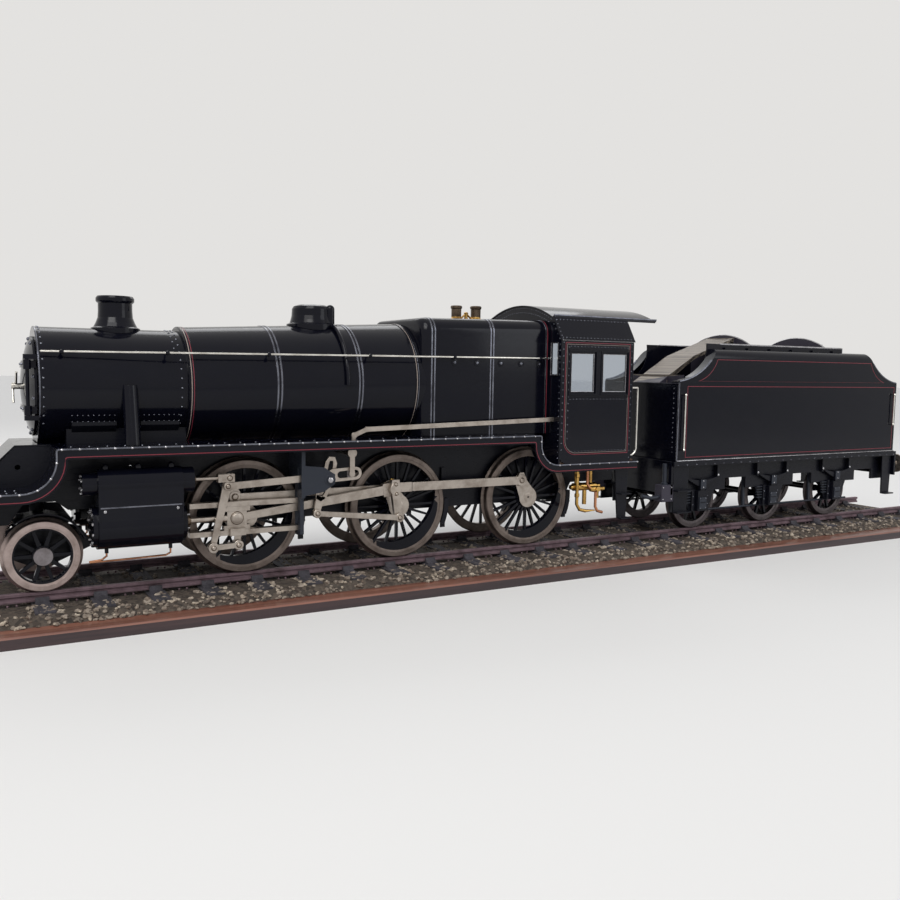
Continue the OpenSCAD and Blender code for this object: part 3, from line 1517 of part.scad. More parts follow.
module tender_platform() {
    half = tank_w / 2 + 4;
    color(black) on_track() {
        block([deck_x, tank_back + 2], [-half, half], [tender_floor_z - plate, tender_floor_z]);
        block([deck_x, deck_x + beam_t], [-half + 4, half - 4], [46, tender_floor_z - plate + 0.1]);
        translate([tank_back + 2, 0, 0]) mirror([1, 0, 0]) {
            block([0, beam_t], [-half, half], [buffer_z - 14, tender_floor_z - plate + 0.1]);
            both_sides() translate([0, buffer_y, buffer_z]) buffer(0);
            translate([0, 0, buffer_z]) draw_hook(0);
        }
        both_sides()
        block([deck_x, tank_back], [half - 1.4, half], [tender_floor_z - 6, tender_floor_z - 0.5]);
    }
}

// Side outline of the tank's sheets, swept down in a curve at each end
sweep_l = 70;
coal_y = 54;
module tank_outline(inset) {
    rise = tender_side_z - tender_end_z;
    r = (sweep_l * sweep_l + rise * rise) / (2 * rise);
    over = 6;
    difference() {
        translate([tank_x - inset, tender_floor_z]) square([tank_l + 2 * inset, tender_side_z + over - tender_floor_z]);
        for (x = [tank_x - 8, tank_back + 8]) translate([x, tender_end_z + r]) circle(r = r + inset, $fn = 180);
    }
}
// Cross outline of one side: the sheet's wall, rolled over at the top towards the coal plate
module rolled_side(inset) {
    shoulder = 11;
    half = tank_w / 2;
    translate([half - shoulder, tender_side_z - shoulder]) circle(r = shoulder - inset);
    translate([coal_y - inset, tender_floor_z])
    square([half - shoulder - coal_y + inset, tender_side_z - inset - tender_floor_z]);
    translate([half - shoulder - 1, tender_floor_z])
    square([shoulder + 1 - inset, tender_side_z - shoulder - tender_floor_z]);
}
module tender_sides() {
    half = tank_w / 2;
    color(black) on_track()
    both_sides()
    difference() {
        intersection() {
            across(coal_y + 0.1, half + 1) tank_outline(0);
            along(tank_x - 1, tank_back + 1) rolled_side(0);
        }
        intersection() {
            across(coal_y - 1, half) tank_outline(plate);
            along(tank_x - 2, tank_back + 2) rolled_side(plate);
        }
    }
}

deck_z = tender_end_z - 2;
hopper_x = [650, 792];
module tender_tank() {
    half = tank_w / 2 - plate - 0.1;
    floor_z = 120;
    color(black) on_track()
    difference() {
        block([tank_x + 0.1, tank_back - 0.1], [-half, half], [tender_floor_z + 0.1, deck_z]);
        across(-coal_y + 2, coal_y - 2)
        polygon([
            [hopper_x[0] + 4, deck_z + 1], [hopper_x[1] - 4, deck_z + 1], [hopper_x[1] - 30, floor_z],
            [hopper_x[0] + 30, floor_z]
        ]);
    }
}

// Inner coal plates, arched bulkheads across them and the sloping chute plate
module tender_coal_plates() {
    inner_t = 1.6;
    front = tank_x + 22;
    back = 822;
    rise = coal_plate_z - deck_z;
    sweep = 42;
    r = (sweep * sweep + rise * rise) / (2 * rise);
    chord = coal_y - inner_t;
    arch_rise = arch_z - coal_plate_z + 2;
    arch_r = (chord * chord + arch_rise * arch_rise) / (2 * arch_rise);
    chute_y = 24;
    color(black) on_track() {
        both_sides()
        across(coal_y - inner_t, coal_y)
        difference() {
            translate([front, deck_z + 0.1]) square([back - front, rise]);
            translate([front - 8, deck_z + r]) circle(r = r, $fn = 180);
        }
        for (x = hopper_x)
        along(x, x + inner_t)
        intersection() {
            translate([0, arch_z - arch_r]) circle(r = arch_r, $fn = 180);
            translate([-chord - 0.05, deck_z + 0.1]) square([2 * chord + 0.1, 90]);
        }
        across(-chute_y, chute_y)
        difference() {
            translate([hopper_x[0], deck_z + 0.1])
            polygon([[0, 0], [0, arch_z - deck_z - 4], [-70, 34], [-126, 0]]);
            translate([hopper_x[0] - 2.6, deck_z])
            polygon([[0, 0], [0, arch_z - deck_z - 9], [-66, 30], [-112, 0]]);
        }
        block([front, front + 1.6], [-coal_y + inner_t, coal_y - inner_t], [deck_z + 0.1, deck_z + 10]);
    }
}

module tender_fittings() {
    half = tank_w / 2;
    under = tender_floor_z - plate - 0.1;
    front_x = deck_x + beam_t + 0.1;
    rail_r = 1;
    color(steel) on_track()
    both_sides() {
        for (x = [tank_x + 8, tank_back - 8]) {
            z0 = x < 600 ? 98 : 122;
            z1 = x < 600 ? 166 : 166;
            rod_z(z0, z1, x, half + 3.4, rail_r);
            for (z = [z0 + 1.4, z1 - 1.4]) {
                rod_y(half + 0.1, half + 3.4, x, z, 0.8);
                translate([x, half + 3.4, z]) sphere(r = 1.7);
            }
        }
    }
    color(black) on_track() {
        both_sides() {
            across(66, 68)
            polygon([
                [front_x, under], [front_x + 25, under], [front_x + 23, 24], [front_x + 2, 24]
            ]);
            for (z = [24, 50]) block([front_x + 1, front_x + 24], [68, 76], [z, z + 1.6]);
            across(66, 68)
            polygon([[tank_back - 22, under], [tank_back - 2, under], [tank_back - 4, 26], [tank_back - 20, 26]]);
            block([tank_back - 21, tank_back - 3], [68, 75], [26, 27.6]);
        }
        rod_z(deck_z + 0.1, deck_z + 12, tank_back - 34, 0, 15);
        rod_z(deck_z + 0.1, 233, tank_back - 78, 0, 3);
        rod_z(deck_z + 0.1, 200, tank_back - 60, 34, 4);
    }
}

display_board();
ballast_bed();
sleepers();
rails();
main_frames();
buffer_beam();
running_boards();
pony_truck();
smokebox();
smokebox_saddle();
smokebox_door();
tube_plate();
blast_pipe();
chimney();
steam_pipes();
boiler_barrel();
boiler_bands();
top_feed();
firebox();
safety_valves();
handrails();
ashpan();
cab_sheets();
cab_windows();
cab_roof();
cab_floor();
backhead();
cylinders();
cylinder_covers();
slide_bars();
piston_rods();
crossheads();
connecting_rods();
coupling_rods();
return_cranks();
eccentric_rods();
expansion_links();
radius_rods();
combination_levers();
union_links();
motion_brackets();
reversing_gear();
driving_wheels();
pony_wheels();
brake_gear();
injectors();
cab_steps();
tender_frames();
tender_springs();
tender_platform();
tender_tank();
tender_sides();
tender_coal_plates();
tender_fittings();
tender_wheels_front();
tender_wheels_middle();
tender_wheels_rear();
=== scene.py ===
"""Looks for a model steam locomotive and tender standing on ballasted display track."""

from __future__ import annotations

import itertools
import json
import logging
import math
import random
from dataclasses import dataclass
from enum import Enum
from typing import Callable, Iterable, Sequence

import bmesh
import bpy
from mathutils import Matrix, Vector


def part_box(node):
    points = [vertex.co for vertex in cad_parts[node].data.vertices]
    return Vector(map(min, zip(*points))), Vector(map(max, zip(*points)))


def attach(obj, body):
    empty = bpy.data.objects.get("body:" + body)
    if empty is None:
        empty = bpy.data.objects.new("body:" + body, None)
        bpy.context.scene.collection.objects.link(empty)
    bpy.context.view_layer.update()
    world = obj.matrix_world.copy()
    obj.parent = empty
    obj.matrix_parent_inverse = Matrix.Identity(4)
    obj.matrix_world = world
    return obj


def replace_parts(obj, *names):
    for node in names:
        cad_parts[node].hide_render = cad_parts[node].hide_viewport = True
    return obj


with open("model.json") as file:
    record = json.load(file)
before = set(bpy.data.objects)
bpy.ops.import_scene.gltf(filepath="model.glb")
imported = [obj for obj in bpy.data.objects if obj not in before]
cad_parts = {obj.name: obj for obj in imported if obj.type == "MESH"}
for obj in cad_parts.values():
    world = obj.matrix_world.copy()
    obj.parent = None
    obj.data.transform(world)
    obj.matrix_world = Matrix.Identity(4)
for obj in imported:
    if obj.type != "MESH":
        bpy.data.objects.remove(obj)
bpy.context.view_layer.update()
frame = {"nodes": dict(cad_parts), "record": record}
LOG = logging.getLogger("locomotive")

MM = 0.001
ROOT = "display_and_engine"
# The engine's own frame starts at the leading driving axle, on top of the rails
LAYOUT_MID = 356.0
RAIL_TOP = 28.0

# Driving dimensions that several sub-assemblies share, in the engine's millimetres and degrees
AXLES = (0.0, 157.2, 314.4)
AXLE_Z = 52.6
THROW = 22.2
NEAR_CRANK = 120.0
FAR_CRANK = NEAR_CRANK + 90.0
BORE_Y, BORE_Z = 60.45, 53.5
VALVE_Y, VALVE_Z = 66.75, 91.0
NEAR_AND_FAR = (-1.0, 1.0)

Colour = tuple[float, float, float]
Point = tuple[float, float, float]
Pair = tuple[float, float]
Profile = tuple[Pair, ...]


def at(x: float, y: float, z: float) -> Vector:
    """Turn millimetres behind the leading driver and above the rails into the frame's metres."""
    return Vector(((x - LAYOUT_MID) * MM, y * MM, (z + RAIL_TOP) * MM))


class Pattern(Enum):
    """Kinds of procedural pattern that a finish can be built on."""

    NOISE = "ShaderNodeTexNoise"
    VORONOI = "ShaderNodeTexVoronoi"


class Shader:
    """A material's node tree, with short calls for the nodes that the finishes use."""

    def __init__(self, name: str, colour: Colour) -> None:
        """Make a material with one principled shader.

        Args:
            name: Name of the material.
            colour: Linear base colour, also shown in the viewport.
        """
        self.material = bpy.data.materials.new(name)
        self.material.use_nodes = True
        self.material.diffuse_color = (*colour, 1.0)
        self.tree = self.material.node_tree
        self.tree.nodes.clear()
        self.surface = self.node("ShaderNodeBsdfPrincipled")
        output = self.node("ShaderNodeOutputMaterial")
        self.link(self.surface.outputs[0], output.inputs["Surface"])
        self.surface.inputs["Base Color"].default_value = (*colour, 1.0)
        self.place = self.node("ShaderNodeTexCoord").outputs["Object"]

    def node(self, kind: str) -> bpy.types.Node:
        """Add one node of a kind."""
        return self.tree.nodes.new(kind)

    def link(self, source: bpy.types.NodeSocket, target: bpy.types.NodeSocket) -> None:
        """Join an output to an input."""
        self.tree.links.new(source, target)

    def set(self, **values: float | tuple[float, ...]) -> None:
        """Set plain numbers on the principled shader, by socket names with underscores for spaces."""
        for name, value in values.items():
            self.surface.inputs[name.replace("_", " ")].default_value = value

    def mapped(self, scale: Point, turn: Point = (0.0, 0.0, 0.0)) -> bpy.types.NodeSocket:
        """Scale and turn the object's own coordinates.

        Args:
            scale: Scale along each axis, in turns of the pattern per metre.
            turn: Rotation about each axis in radians.

        Returns:
            The mapped coordinates.
        """
        mapping = self.node("ShaderNodeMapping")
        mapping.inputs["Scale"].default_value = scale
        mapping.inputs["Rotation"].default_value = turn
        self.link(self.place, mapping.inputs["Vector"])
        return mapping.outputs[0]

    def noise(self, scale: Point, detail: float = 3.0, rough: float = 0.55) -> bpy.types.NodeSocket:
        """Add a noise pattern.

        Args:
            scale: Scale along each axis per metre.
            detail: Octaves of the noise.
            rough: Strength of each finer octave.

        Returns:
            The noise as a value around one half.
        """
        pattern = self.node(Pattern.NOISE.value)
        pattern.inputs["Scale"].default_value = 1.0
        pattern.inputs["Detail"].default_value = detail
        pattern.inputs["Roughness"].default_value = rough
        self.link(self.mapped(scale), pattern.inputs["Vector"])
        return pattern.outputs["Fac"]

    def ramp(self, source: bpy.types.NodeSocket,
             stops: Sequence[tuple[float, Colour]]) -> bpy.types.NodeSocket:
        """Turn a value into colour.

        Args:
            source: The driving value.
            stops: Positions and linear colours, in rising order.

        Returns:
            The colour.
        """
        ramp = self.node("ShaderNodeValToRGB")
        elements = ramp.color_ramp.elements
        while len(elements) < len(stops):
            elements.new(0.5)
        for element, (position, colour) in zip(elements, stops):
            element.position = position
            element.color = (*colour, 1.0)
        self.link(source, ramp.inputs[0])
        return ramp.outputs["Color"]

    def spread(self, source: bpy.types.NodeSocket, low: float, high: float,
               start: float = 0.3, end: float = 0.7) -> bpy.types.NodeSocket:
        """Map a value's range onto another.

        Args:
            source: The driving value.
            low: Result at the start of the range.
            high: Result at the end of the range.
            start: Start of the driving range.
            end: End of the driving range.

        Returns:
            The mapped value.
        """
        spread = self.node("ShaderNodeMapRange")
        for name, value in (("From Min", start), ("From Max", end), ("To Min", low), ("To Max", high)):
            spread.inputs[name].default_value = value
        self.link(source, spread.inputs["Value"])
        return spread.outputs[0]

    def mix(self, factor: bpy.types.NodeSocket, first: bpy.types.NodeSocket | Colour,
            second: bpy.types.NodeSocket | Colour) -> bpy.types.NodeSocket:
        """Blend two colours.

        Args:
            factor: Share of the second colour.
            first: A colour or a socket.
            second: A colour or a socket.

        Returns:
            The blended colour.
        """
        mix = self.node("ShaderNodeMix")
        mix.data_type = "RGBA"
        self.link(factor, mix.inputs[0])
        for value, socket in ((first, mix.inputs[6]), (second, mix.inputs[7])):
            if isinstance(value, tuple):
                socket.default_value = (*value, 1.0)
            else:
                self.link(value, socket)
        return mix.outputs[2]

    def bump(self, source: bpy.types.NodeSocket, depth: float, edge: float = 0.0) -> None:
        """Raise the surface by a value, and soften its sharp edges.

        Args:
            source: The height pattern.
            depth: Height in metres at a value of one.
            edge: Radius of the softened edges in metres.
        """
        bump = self.node("ShaderNodeBump")
        bump.inputs["Strength"].default_value = 1.0
        bump.inputs["Distance"].default_value = depth
        self.link(source, bump.inputs["Height"])
        if edge > 0.0:
            bevel = self.node("ShaderNodeBevel")
            bevel.samples = 4
            bevel.inputs["Radius"].default_value = edge
            self.link(bevel.outputs[0], bump.inputs["Normal"])
        self.link(bump.outputs[0], self.surface.inputs["Normal"])

    def colour(self, source: bpy.types.NodeSocket) -> None:
        """Drive the base colour."""
        self.link(source, self.surface.inputs["Base Color"])

    def roughness(self, source: bpy.types.NodeSocket) -> None:
        """Drive the roughness."""
        self.link(source, self.surface.inputs["Roughness"])


def tint(code: str) -> Colour:
    """Turn a colour written as in a paint program into linear values.

    Args:
        code: Six hexadecimal digits after a hash.

    Returns:
        The linear colour.
    """
    parts = [int(code[k:k + 2], 16) / 255.0 for k in (1, 3, 5)]
    linear = [c / 12.92 if c < 0.04045 else ((c + 0.055) / 1.055) ** 2.4 for c in parts]
    return (linear[0], linear[1], linear[2])


@dataclass(frozen=True)
class Enamel:
    """Polished stove enamel with a faint film of dust and handling marks."""

    name: str
    colour: Colour
    rough: float = 0.12
    dust: float = 0.3
    gloss: float = 0.17

    def build(self) -> bpy.types.Material:
        """Make the material."""
        shader = Shader(self.name, self.colour)
        film = shader.noise((26.0, 26.0, 40.0), 6.0, 0.62)
        marks = shader.noise((160.0, 220.0, 700.0), 3.0, 0.7)
        dusty = tuple(c * 0.9 + 0.006 * self.dust for c in self.colour)
        shader.colour(shader.mix(shader.spread(film, 0.0, 1.0, 0.45, 0.8), self.colour, dusty))
        shader.roughness(shader.spread(marks, self.rough * 0.75, self.rough * 1.6))
        shader.set(Specular_IOR_Level=self.gloss, Coat_Weight=0.05, Coat_Roughness=0.05, Coat_IOR=1.45)
        shader.bump(shader.noise((240.0, 240.0, 240.0), 3.0), 0.00002, 0.0005)
        return shader.material


@dataclass(frozen=True)
class Metal:
    """Worked metal with fine scratches and a film of oil, rust or tarnish."""

    name: str
    colour: Colour
    stain: Colour
    rough: float = 0.3
    grain: Point = (120.0, 900.0, 2600.0)
    metallic: float = 1.0

    def build(self) -> bpy.types.Material:
        """Make the material."""
        shader = Shader(self.name, self.colour)
        scratches = shader.noise(self.grain, 4.0, 0.7)
        film = shader.noise((75.0, 75.0, 75.0), 5.0, 0.62)
        shader.colour(shader.mix(shader.spread(film, 0.0, 0.85, 0.42, 0.74), self.colour, self.stain))
        shader.roughness(shader.spread(scratches, self.rough * 0.75, self.rough * 1.5))
        shader.set(Metallic=self.metallic, Anisotropic=0.25, Specular_IOR_Level=0.5)
        shader.bump(scratches, 0.00003, 0.0004)
        return shader.material


@dataclass(frozen=True)
class Wood:
    """Wood with long grain, pores and a coat of varnish or stain."""

    name: str
    light: Colour
    dark: Colour
    along: Point = (5.0, 110.0, 110.0)
    coat: float = 0.5
    rough: float = 0.4

    def build(self) -> bpy.types.Material:
        """Make the material."""
        shader = Shader(self.name, self.light)
        grain = shader.noise(self.along, 6.0, 0.7)
        pores = shader.noise(tuple(6.0 * s for s in self.along), 3.0, 0.75)
        broad = shader.noise(tuple(0.35 * s for s in self.along), 2.0, 0.5)
        wood = shader.mix(shader.spread(grain, 0.0, 1.0, 0.36, 0.64), self.dark, self.light)
        shaded = shader.mix(shader.spread(broad, 0.0, 0.5, 0.4, 0.7), wood, self.dark)
        shader.colour(shader.mix(shader.spread(pores, 0.0, 0.55, 0.58, 0.8), shaded, self.dark))
        shader.roughness(shader.spread(pores, self.rough * 0.8, self.rough * 1.4))
        shader.set(Coat_Weight=self.coat, Coat_Roughness=0.15)
        shader.bump(pores, 0.00012, 0.0006)
        return shader.material


@dataclass(frozen=True)
class Stone:
    """Crushed stone whose colour changes from one chip to the next."""

    name: str
    chips: tuple[Colour, ...]
    size: float = 170.0

    def build(self) -> bpy.types.Material:
        """Make the material."""
        shader = Shader(self.name, self.chips[0])
        cells = shader.node(Pattern.VORONOI.value)
        cells.inputs["Scale"].default_value = self.size
        shader.link(shader.place, cells.inputs["Vector"])
        split = shader.node("ShaderNodeSeparateColor")
        shader.link(cells.outputs["Color"], split.inputs[0])
        last = len(self.chips) - 1
        stops = [(k / last, c) for k, c in enumerate(self.chips)]
        chip = shader.ramp(split.outputs[0], stops)
        grit = shader.noise((900.0, 900.0, 900.0), 4.0, 0.7)
        dark = tuple(0.45 * c for c in self.chips[0])
        shader.colour(shader.mix(shader.spread(grit, 0.0, 0.6, 0.5, 0.75), chip, dark))
        shader.set(Roughness=0.85, Specular_IOR_Level=0.3)
        shader.bump(grit, 0.0004)
        return shader.material


@dataclass(frozen=True)
class Chequer:
    """Steel plate rolled with a raised diamond pattern."""

    name: str
    colour: Colour
    ground: Colour
    pitch: float = 330.0

    def build(self) -> bpy.types.Material:
        """Make the material."""
        shader = Shader(self.name, self.colour)
        ribs = shader.node("ShaderNodeTexChecker")
        ribs.inputs["Scale"].default_value = 1.0
        turned = (0.0, math.radians(45.0), math.radians(45.0))
        shader.link(shader.mapped((self.pitch, self.pitch, self.pitch), turned), ribs.inputs["Vector"])
        wear = shader.noise((180.0, 180.0, 180.0), 4.0, 0.6)
        plate = shader.mix(ribs.outputs["Fac"], self.ground, self.colour)
        shader.colour(shader.mix(shader.spread(wear, 0.0, 0.5, 0.45, 0.75), plate, self.ground))
        shader.set(Metallic=0.6, Roughness=0.42)
        shader.bump(ribs.outputs["Fac"], 0.0002)
        return shader.material


@dataclass(frozen=True)
class Glass:
    """Clear window glass."""

    name: str
    colour: Colour

    def build(self) -> bpy.types.Material:
        """Make the material."""
        shader = Shader(self.name, self.colour)
        shader.set(Transmission_Weight=1.0, IOR=1.46, Specular_IOR_Level=0.5)
        shader.roughness(shader.spread(shader.noise((60.0, 60.0, 60.0), 4.0), 0.01, 0.05))
        return shader.material


Finish = Enamel | Metal | Wood | Stone | Chequer | Glass

BLACK = Enamel("black_enamel", tint("#080913"))
FRAME = Enamel("frame_black", tint("#0e0f17"), 0.3, 0.5, 0.16)
BLUED = Enamel("bracket_blue", tint("#252932"), 0.36, 0.6, 0.25)
# Pale steel for rivet heads and edge beads: painted highlight standing in for the glints on black enamel; the
# boiler bands and cylinder seams use it too.
RIVET_HIGHLIGHT = Metal("rivet_and_bead_highlight", tint("#74767f"), tint("#3a3b43"), 0.2)
GREY = Enamel("plate_grey", tint("#35323d"), 0.42, 0.8, 0.25)
RED = Enamel("lining_red", tint("#7b2c37"), 0.3, 0.2, 0.3)
CREAM = Enamel("lining_cream", tint("#9d8f86"), 0.3, 0.2, 0.4)
DIAL = Enamel("dial_white", tint("#cfcabb"), 0.3, 0.2, 0.4)
BRIGHT = Metal("bright_steel", tint("#ada49b"), tint("#7a6f66"), 0.32)
# Pale steel for studs and bolts; on the running-board edge screws and the coal plates' top beads it is a
# painted highlight on black parts.
SCREW = Metal("screw_steel", tint("#b4b3b6"), tint("#6c6b70"), 0.22)
NICKEL = Metal("handrail_nickel", tint("#e4e1da"), tint("#a9a49a"), 0.16)
TYRE = Metal("tyre_steel", tint("#756b65"), tint("#4b423d"), 0.44, (900.0, 900.0, 900.0))
PALE_TYRE = Metal("pony_tyre", tint("#b3a39e"), tint("#857670"), 0.38, (900.0, 900.0, 900.0))
DARK_TYRE = Metal("tender_tyre", tint("#5b5556"), tint("#332f31"), 0.45, (900.0, 900.0, 900.0))
HUB = Metal("hub_cap", tint("#8d888b"), tint("#66605f"), 0.45, (900.0, 900.0, 900.0))
RAIL = Metal("rail_steel", tint("#77636a"), tint("#3d2f31"), 0.46, (90.0, 1500.0, 1500.0), 0.6)
IRON = Metal("dark_iron", tint("#4e4743"), tint("#2c2522"), 0.5)
BRASS = Metal("brass", tint("#c9a25c"), tint("#7d5a30"), 0.26, (400.0, 400.0, 1500.0))
COPPER = Metal("copper_pipe", tint("#c48a68"), tint("#6f4536"), 0.3, (400.0, 400.0, 1500.0))
BRONZE = Metal("valve_bronze", tint("#6a5d50"), tint("#362c24"), 0.34)
MAHOGANY = Wood("mahogany", tint("#946351"), tint("#5d3428"))
BOARD_SIDE = Wood("mahogany_edge", tint("#3f2a2b"), tint("#24161a"), (5.0, 110.0, 160.0), 0.35, 0.45)
SLEEPER = Wood("sleeper_wood", tint("#46434a"), tint("#28262b"), (160.0, 7.0, 160.0), 0.0, 0.75)
PLANKS = Wood("cab_planks", tint("#6b4a30"), tint("#3a2618"), (9.0, 120.0, 120.0), 0.1, 0.6)
CHIPS = tuple(tint(code) for code in ("#4d453f", "#857a6e", "#9d9184", "#6a5c51", "#bdb09e"))
# Dark chips of the bed under the stones: partly dust, partly painted shade between the stones.
BED_DUST_AND_SHADE = tuple(tint(code) for code in ("#2e2926", "#4d463f", "#5b5148", "#3b332e"))
BALLAST = Stone("ballast", CHIPS, 230.0)
BED = Stone("ballast_bed", BED_DUST_AND_SHADE, 320.0)
CHEQUER = Chequer("chequer_plate", tint("#8f8578"), tint("#3f3a38"))
GLASS = Glass("window_glass", tint("#b4bcc6"))

BY_SLOT: dict[str, Finish] = {
    "black_enamel": BLACK,
    "bright_steel": BRIGHT,
    "dark_iron": IRON,
    "brass": BRASS,
    "window_glass": GLASS,
    "cab_planks": PLANKS,
    "rail_steel": RAIL,
    "sleeper_wood": SLEEPER,
    "ballast": BALLAST,
    "mahogany": MAHOGANY,
}
SATIN_NODES = (
    "main_frames", "pony_truck", "ashpan", "cab_steps", "brake_gear", "tender_frames",
    "tender_springs", "smokebox_saddle",
)


class Library:
    """The finishes of the model, each built once."""

    def __init__(self) -> None:
        """Start with nothing built."""
        self.built: dict[str, bpy.types.Material] = {}

    def get(self, finish: Finish) -> bpy.types.Material:
        """Build a finish, or fetch it where it is already built.

        Args:
            finish: The finish to make.

        Returns:
            The material.
        """
        if finish.name not in self.built:
            self.built[finish.name] = finish.build()
        return self.built[finish.name]

    def dress(self, name: str, rule: Callable[[Vector], Finish]) -> None:
        """Give each face of a CAD node the finish that a rule names for its middle.

        Args:
            name: The CAD node.
            rule: Chooses a finish from a place in the engine's millimetres.
        """
        mesh = frame["nodes"][name].data
        mesh.materials.clear()
        order: list[Finish] = []
        for face in mesh.polygons:
            middle = face.center / MM + Vector((LAYOUT_MID, 0.0, -RAIL_TOP))
            finish = rule(middle)
            if finish not in order:
                order.append(finish)
                mesh.materials.append(self.get(finish))
            face.material_index = order.index(finish)


LIBRARY = Library()


def spaced(path: Sequence[Vector], pitch: float) -> list[Vector]:
    """Walk along a path and stop at even steps.

    Args:
        path: Corners of the path.
        pitch: Wanted distance between stops.

    Returns:
        The stops, with one at each end of the path.
    """
    lengths = [(b - a).length for a, b in zip(path, path[1:])]
    count = max(1, round(sum(lengths) / pitch))
    step = sum(lengths) / count
    stops = []
    for k in range(count + 1):
        left = k * step
        for (a, b), length in zip(zip(path, path[1:]), lengths):
            if left <= length + 1e-6:
                stops.append(a.lerp(b, min(1.0, left / length)))
                break
            left -= length
    return stops


def arc(centre: Pair, radius: float, start: float, end: float, steps: int = 10) -> list[Pair]:
    """Give points along part of a circle between two angles in degrees."""
    turns = [math.radians(start + (end - start) * k / steps) for k in range(steps + 1)]
    return [(centre[0] + radius * math.cos(t), centre[1] + radius * math.sin(t)) for t in turns]


def even_turns(count: int, start: float = 0.0) -> list[float]:
    """Divide a full turn into even steps, in radians, the first one a share of a step in."""
    return [2.0 * math.pi * (k + start) / count for k in range(count)]


def rectangle(x: Pair, z: Pair) -> list[Pair]:
    """Give the corners of an upright rectangle in X and Z."""
    return [(x[0], z[0]), (x[1], z[0]), (x[1], z[1]), (x[0], z[1])]


def across(side: float, inner: float, outer: float) -> Pair:
    """Turn two distances from the middle into a rising pair on one side."""
    low, high = sorted((side * inner, side * outer))
    return (low, high)


def upright(outline: Iterable[Pair], y: float) -> list[Point]:
    """Stand an outline in X and Z at a place across the track."""
    return [(x, y, z) for x, z in outline]


UP = Vector((0.0, 1.0))


def quad(foot: Vector, run: Vector, along: Pair, low: Pair, high: Pair) -> list[Vector]:
    """Give the four corners of a form that lies along a line in X and Z.

    Args:
        foot: Where the line starts.
        run: Its direction.
        along: Distances along it where the form starts and ends.
        low: Distances of the form's lower edge from the line at both ends.
        high: Distances of its upper edge.

    Returns:
        The corners.
    """
    step = run.normalized()
    rise = Vector((-step.y, step.x))
    edges = ((along[0], low[0]), (along[1], low[1]), (along[1], high[1]), (along[0], high[0]))
    return [foot + a * step + b * rise for a, b in edges]


def stadium(p: Vector, q: Vector, radius: float, steps: int = 10) -> list[Pair]:
    """Give the outline of a bar with round ends.

    Args:
        p: Middle of the first end, in X and Z.
        q: Middle of the second end.
        radius: Half the bar's depth.
        steps: Pieces of each round end.

    Returns:
        The outline's points.
    """
    turn = math.degrees(math.atan2(q.y - p.y, q.x - p.x))
    far = arc((q.x, q.y), radius, turn - 90.0, turn + 90.0, steps)
    return far + arc((p.x, p.y), radius, turn + 90.0, turn + 270.0, steps)


# Height above the surface and radius of a rivet's head, for a radius of one
RIVET_HEAD = ((-0.3, 1.0), (0.15, 0.98), (0.5, 0.74), (0.68, 0.3))


